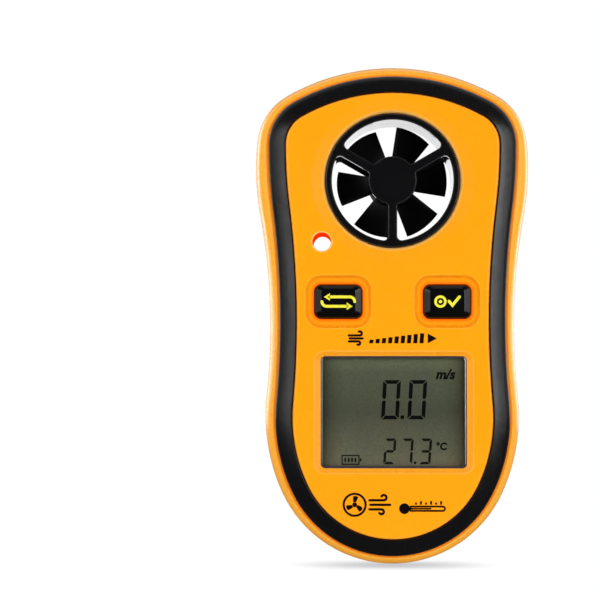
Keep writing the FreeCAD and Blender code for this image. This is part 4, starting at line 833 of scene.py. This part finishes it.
# mode key: two half loops with arrow heads
LOOP_HALF_WIDTH, LOOP_HALF_HEIGHT = 2.75, 0.98
key_x, key_z = centre_of("mode_button")
mode_sign = Relief(key_face, INK_HEIGHT)
for side in (1, -1):
    tail_x = key_x - side * (LOOP_HALF_WIDTH - 0.9)
    line_z = key_z + side * LOOP_HALF_HEIGHT
    bend = LOOP_HALF_WIDTH - 0.3
    path = [(tail_x, line_z), (key_x + side * bend, line_z)]
    for degrees in (20, 45, 70, 90):
        angle = math.radians(degrees)
        path.append((key_x + side * (bend + LOOP_HALF_HEIGHT * math.sin(angle)),
                     key_z + side * LOOP_HALF_HEIGHT * math.cos(angle)))
    mode_sign.stroke(path, width=0.60)
    head_x = tail_x + side * 0.10
    mode_sign.slab([(tail_x - side * 1.15, line_z), (head_x, line_z + 0.78),
                    (head_x, line_z - 0.78)])
mode_sign.build("mode_key_sign", KEY_INK, "mode_key")

# set key: target ring with a tick
key_x, key_z = centre_of("set_button")
target_x = key_x - 1.45
set_sign = Relief(key_face, INK_HEIGHT)
set_sign.band(disc(target_x, key_z, radius=1.30, sides=36),
              disc(target_x, key_z, radius=0.76, sides=36))
set_sign.slab(disc(target_x, key_z, radius=0.36, sides=18))
TICK = ((0.35, 0.05), (1.05, -0.78), (2.50, 0.98))      # from the key's centre
set_sign.stroke([(key_x + x, key_z + z) for x, z in TICK], width=0.62)
set_sign.build("set_key_sign", KEY_INK, "set_key")

# ------------------------------------------------------------------ back face
# raised arcs on the battery door: (start and end degrees, radius in X, radius in Z)
DOOR_ARCS = (
    (52, 66, 9.6, 12.6), (72, 84, 9.6, 12.6), (96, 108, 9.6, 12.6), (114, 128, 9.6, 12.6),
    (205, 222, 9.4, 12.2), (228, 243, 9.4, 12.2), (297, 312, 9.4, 12.2), (318, 335, 9.4, 12.2),
)
door_x, door_z = centre_of("battery_door")
arcs_z = door_z + 1.5
door_marks = Relief(plane_on("battery_door", BACK), 0.035)
for start, end, radius_x, radius_z in DOOR_ARCS:
    angles = [math.radians(degrees) for degrees in range(start, end + 1, 2)]
    door_marks.stroke([(door_x + radius_x * math.cos(angle), arcs_z + radius_z * math.sin(angle))
                       for angle in angles], width=0.42)
door_marks.build("door_raised_marks", MATERIALS["case_plastic"], "door")

# (name, text, centre, size, turn in degrees, boldness)
case_back = plane_on("rear_case", BACK, PRINT_LIFT)
for name, text, centre, size, turn, bold in (
    ("print_unit_celsius", "°C", (8.15, 16.1), 3.1, 22, 0.12),
    ("print_unit_slash", "/", (6.1, 15.6), 2.7, 0, 0.08),
    ("print_unit_fahrenheit", "°F", (3.65, 15.9), 3.0, -12, 0.12),
):
    lettering(name, text, centre, case_back, INK,
              size=size, bold=bold, turn=turn, mirror=True)

# tiles on the sticker: four blocks of 3 x 3, each listed by its centre, "1" for a tile
STICKER_TURN = math.radians(35.0)
TILE_PITCH, TILE_SIZE = 0.46, 0.36
TILE_BLOCKS = {
    (-1.05, 0.95): ("110", "101", "011"),
    (1.05, 0.95): ("101", "110", "101"),
    (-1.05, -0.95): ("011", "110", "101"),
    (1.05, -0.95): ("111", "010", "101"),
}
sticker_x, sticker_z = centre_of("qc_sticker")


def turned(x, z):
    cosine, sine = math.cos(STICKER_TURN), math.sin(STICKER_TURN)
    return sticker_x + x * cosine - z * sine, sticker_z + x * sine + z * cosine


tiles = Relief(plane_on("qc_sticker", BACK, PRINT_LIFT), INK_HEIGHT)
half = TILE_SIZE / 2
for (block_x, block_z), rows in TILE_BLOCKS.items():
    for row, bits in enumerate(rows):
        for column, bit in enumerate(bits):
            if bit == "1":
                x = block_x + (column - 1) * TILE_PITCH
                z = block_z + (1 - row) * TILE_PITCH
                corners = rectangle(x - half, z - half, x + half, z + half)
                tiles.slab([turned(*corner) for corner in corners])
tiles.build("sticker_pattern", INK, "case")

# ---------------------------------------------------------------------- stage
STAGE_FRONT, STAGE_BACK, STAGE_WALL = 0.05, 0.18, 1.25  # stage brightness in reflections
STAGE_DARK = 0.05               # dark parts of the stage and room in reflections
DOME = 0.42                     # even light from the room
BOUNCE = 0.95                   # light thrown back by the white sweep
SIDES = 0.55                    # what grazing reflections see beside the part
FILL_LEFT = 2.10                # radiance of the diffuse-only fills
FILL_RIGHT = FILL_LEFT * 0.85
SOFT_LEFT, SOFT_RIGHT = 1.5, 3.0        # radiance of the reflecting softboxes
REFLECTION_Z = 0.045            # centre of the dark ring that reflections see on the wall


def by_ray(net, seen, mirrored, bounced):
    """One shader for the camera, one for other rays and one for diffuse light."""
    path = net.node("LightPath").outputs
    indirect = net.mix_shader(path["Is Diffuse Ray"], mirrored.outputs[0], bounced.outputs[0])
    return net.node("MixShader", {0: path["Is Camera Ray"], 1: indirect, 2: seen.outputs[0]})


def stage_material():
    """White sweep with a faint contact shade; dark to reflections in front of the object."""
    net = new_net("stage_white")
    contact = net.openness(distance=0.012, samples=8)
    white = net.vary_colour(net.noise(scale=3.0), grey(0.995), grey(1.0))
    contact_shade = net.ramp(contact, {0.0: (0.55, 0.55, 0.56), 0.75: grey(1.0)})
    seen = net.node("Emission", {"Color": net.tint(white, contact_shade), "Strength": 1.02})
    x, y, z = net.split(net.coords)
    away = net.remap(net.absolute(y), span=(0.45, 0.60))
    near = net.remap(y, span=(-0.02, 0.05), to=(STAGE_FRONT, STAGE_BACK))
    radius = net.length(x, net.subtract(z, REFLECTION_Z))
    bright = net.maximum(net.remap(radius, span=(0.12, 0.18), to=(1.0, 0.0)),
                         net.remap(radius, span=(0.55, 0.72)))
    wall = net.add(net.multiply(bright, STAGE_WALL - STAGE_DARK), STAGE_DARK)
    wall = net.multiply(wall, net.remap(y, span=(-0.02, 0.05), to=(STAGE_FRONT, 1.0)))
    glow = net.node("Emission", {"Strength": net.mix_value(away, near, wall)})
    bounce = net.node("Emission", {"Strength": BOUNCE})
    return net.finish(by_ray(net, seen, glow, bounce))


# one swept sheet: floor, a wide curve, then a wall behind
FLOOR_Z, WALL_TOP = -0.0004, 2.2
FLOOR_FRONT, CURVE_START, CURVE_RADIUS = -1.2, 0.55, 0.35
STAGE_HALF_WIDTH = 2.5
stage_white = stage_material()
profile = [(FLOOR_FRONT, FLOOR_Z), (CURVE_START, FLOOR_Z)]
for degrees in range(5, 91, 5):
    angle = math.radians(degrees)
    profile.append((CURVE_START + CURVE_RADIUS * math.sin(angle),
                    CURVE_RADIUS + FLOOR_Z - CURVE_RADIUS * math.cos(angle)))
profile.append((CURVE_START + CURVE_RADIUS, WALL_TOP))
sheet = bmesh.new()
rows = [[sheet.verts.new((x, y, z)) for x in (-STAGE_HALF_WIDTH, STAGE_HALF_WIDTH)]
        for y, z in profile]
for low, high in zip(rows[:-1], rows[1:]):
    sheet.faces.new((low[0], low[1], high[1], high[0]))
sheet_data = bpy.data.meshes.new("backdrop")
sheet.to_mesh(sheet_data)
sheet.free()
for polygon in sheet_data.polygons:
    polygon.use_smooth = True
backdrop = bpy.data.objects.new("backdrop", sheet_data)
bpy.context.scene.collection.objects.link(backdrop)
sheet_data.materials.append(stage_white)

# --------------------------------------------------------------------- lights
AIM = Vector((0, 0, 0.052))
LIGHT_DISTANCE = 0.60


def softbox(name, azimuths, elevations, radiance, side, glossy=True):
    """Flat light that fills the given angles, in degrees, as seen from the object."""
    azimuth = math.radians(sum(azimuths) / 2)
    elevation = math.radians(sum(elevations) / 2)
    location = AIM + LIGHT_DISTANCE * Vector((math.sin(azimuth) * math.cos(elevation),
                                              side * math.cos(azimuth) * math.cos(elevation),
                                              math.sin(elevation)))
    width, height = (2 * LIGHT_DISTANCE * math.tan(math.radians(abs(end - start) / 2))
                     for start, end in (azimuths, elevations))
    lamp = bpy.data.lights.new(name, "AREA")
    lamp.shape = "RECTANGLE"
    lamp.size = width
    lamp.size_y = height
    lamp.energy = radiance * math.pi * width * height
    made = bpy.data.objects.new(name, lamp)
    bpy.context.scene.collection.objects.link(made)
    made.location = location
    made.rotation_euler = (AIM - location).to_track_quat("-Z", "Y").to_euler()
    made.visible_glossy = glossy
    made.visible_camera = False


# (inner and outer azimuth, share of the radiance), brightest near the camera's axis
SOFTBOX_STRIPS = ((23, 35, 1.45), (35, 46, 0.50), (46, 60, 0.35))
SOFT_MEAN = (SOFT_LEFT + SOFT_RIGHT) / 2
for tag, side, left_radiance, right_radiance in (
    ("front", FRONT, SOFT_LEFT, SOFT_RIGHT),
    ("rear", BACK, SOFT_MEAN, SOFT_MEAN),
):
    for hand, sign, radiance in (("left", -1, left_radiance), ("right", 1, right_radiance)):
        for i, (inner, outer, share) in enumerate(SOFTBOX_STRIPS):
            softbox(f"softbox_{hand}_{tag}_{i}", azimuths=(sign * inner, sign * outer),
                    elevations=(-21, 21), radiance=radiance * share, side=side)
    softbox("fill_left_" + tag, azimuths=(-58, -26), elevations=(4, 46),
            radiance=FILL_LEFT, side=side, glossy=False)
    softbox("fill_right_" + tag, azimuths=(26, 58), elevations=(-4, 38),
            radiance=FILL_RIGHT, side=side, glossy=False)

# the room: white to the camera, an even dome to diffuse light, bright sides to the rest
world = bpy.data.worlds.new("studio")
world.use_nodes = True
room = Net(world.node_tree)
mirrored = room.tree.nodes["Background"]
direction_y = room.split(room.node("TexCoord").outputs["Generated"])[1]
room.set(mirrored, {
    "Color": grey(1.0),
    "Strength": room.remap(room.absolute(direction_y), span=(0.35, 0.62),
                           to=(SIDES, STAGE_DARK)),
})
seen = room.node("Background", {"Color": grey(1.0), "Strength": 1.0})
dome = room.node("Background", {"Color": grey(1.0), "Strength": DOME})
room_shader = by_ray(room, seen, mirrored, dome)
room.set(room.tree.nodes["World Output"], {"Surface": room_shader.outputs[0]})
scene = bpy.context.scene
scene.world = world
scene.view_settings.view_transform = "Standard"
scene.view_settings.look = "None"

# --------------------------------------------------------------------- camera
LOOK = Vector((-0.018828452, 1.0, 0.021757322)).normalized()    # viewing direction
lens = bpy.data.cameras.new("camera")
lens.sensor_width = 36.0
lens.lens = 143.4
lens.clip_start = 0.01
lens.clip_end = 20.0
camera = bpy.data.objects.new("camera", lens)
scene.collection.objects.link(camera)
camera.location = (-0.010, -0.510, 0.04491)
camera.rotation_euler = LOOK.to_track_quat("-Z", "Y").to_euler()
scene.camera = camera
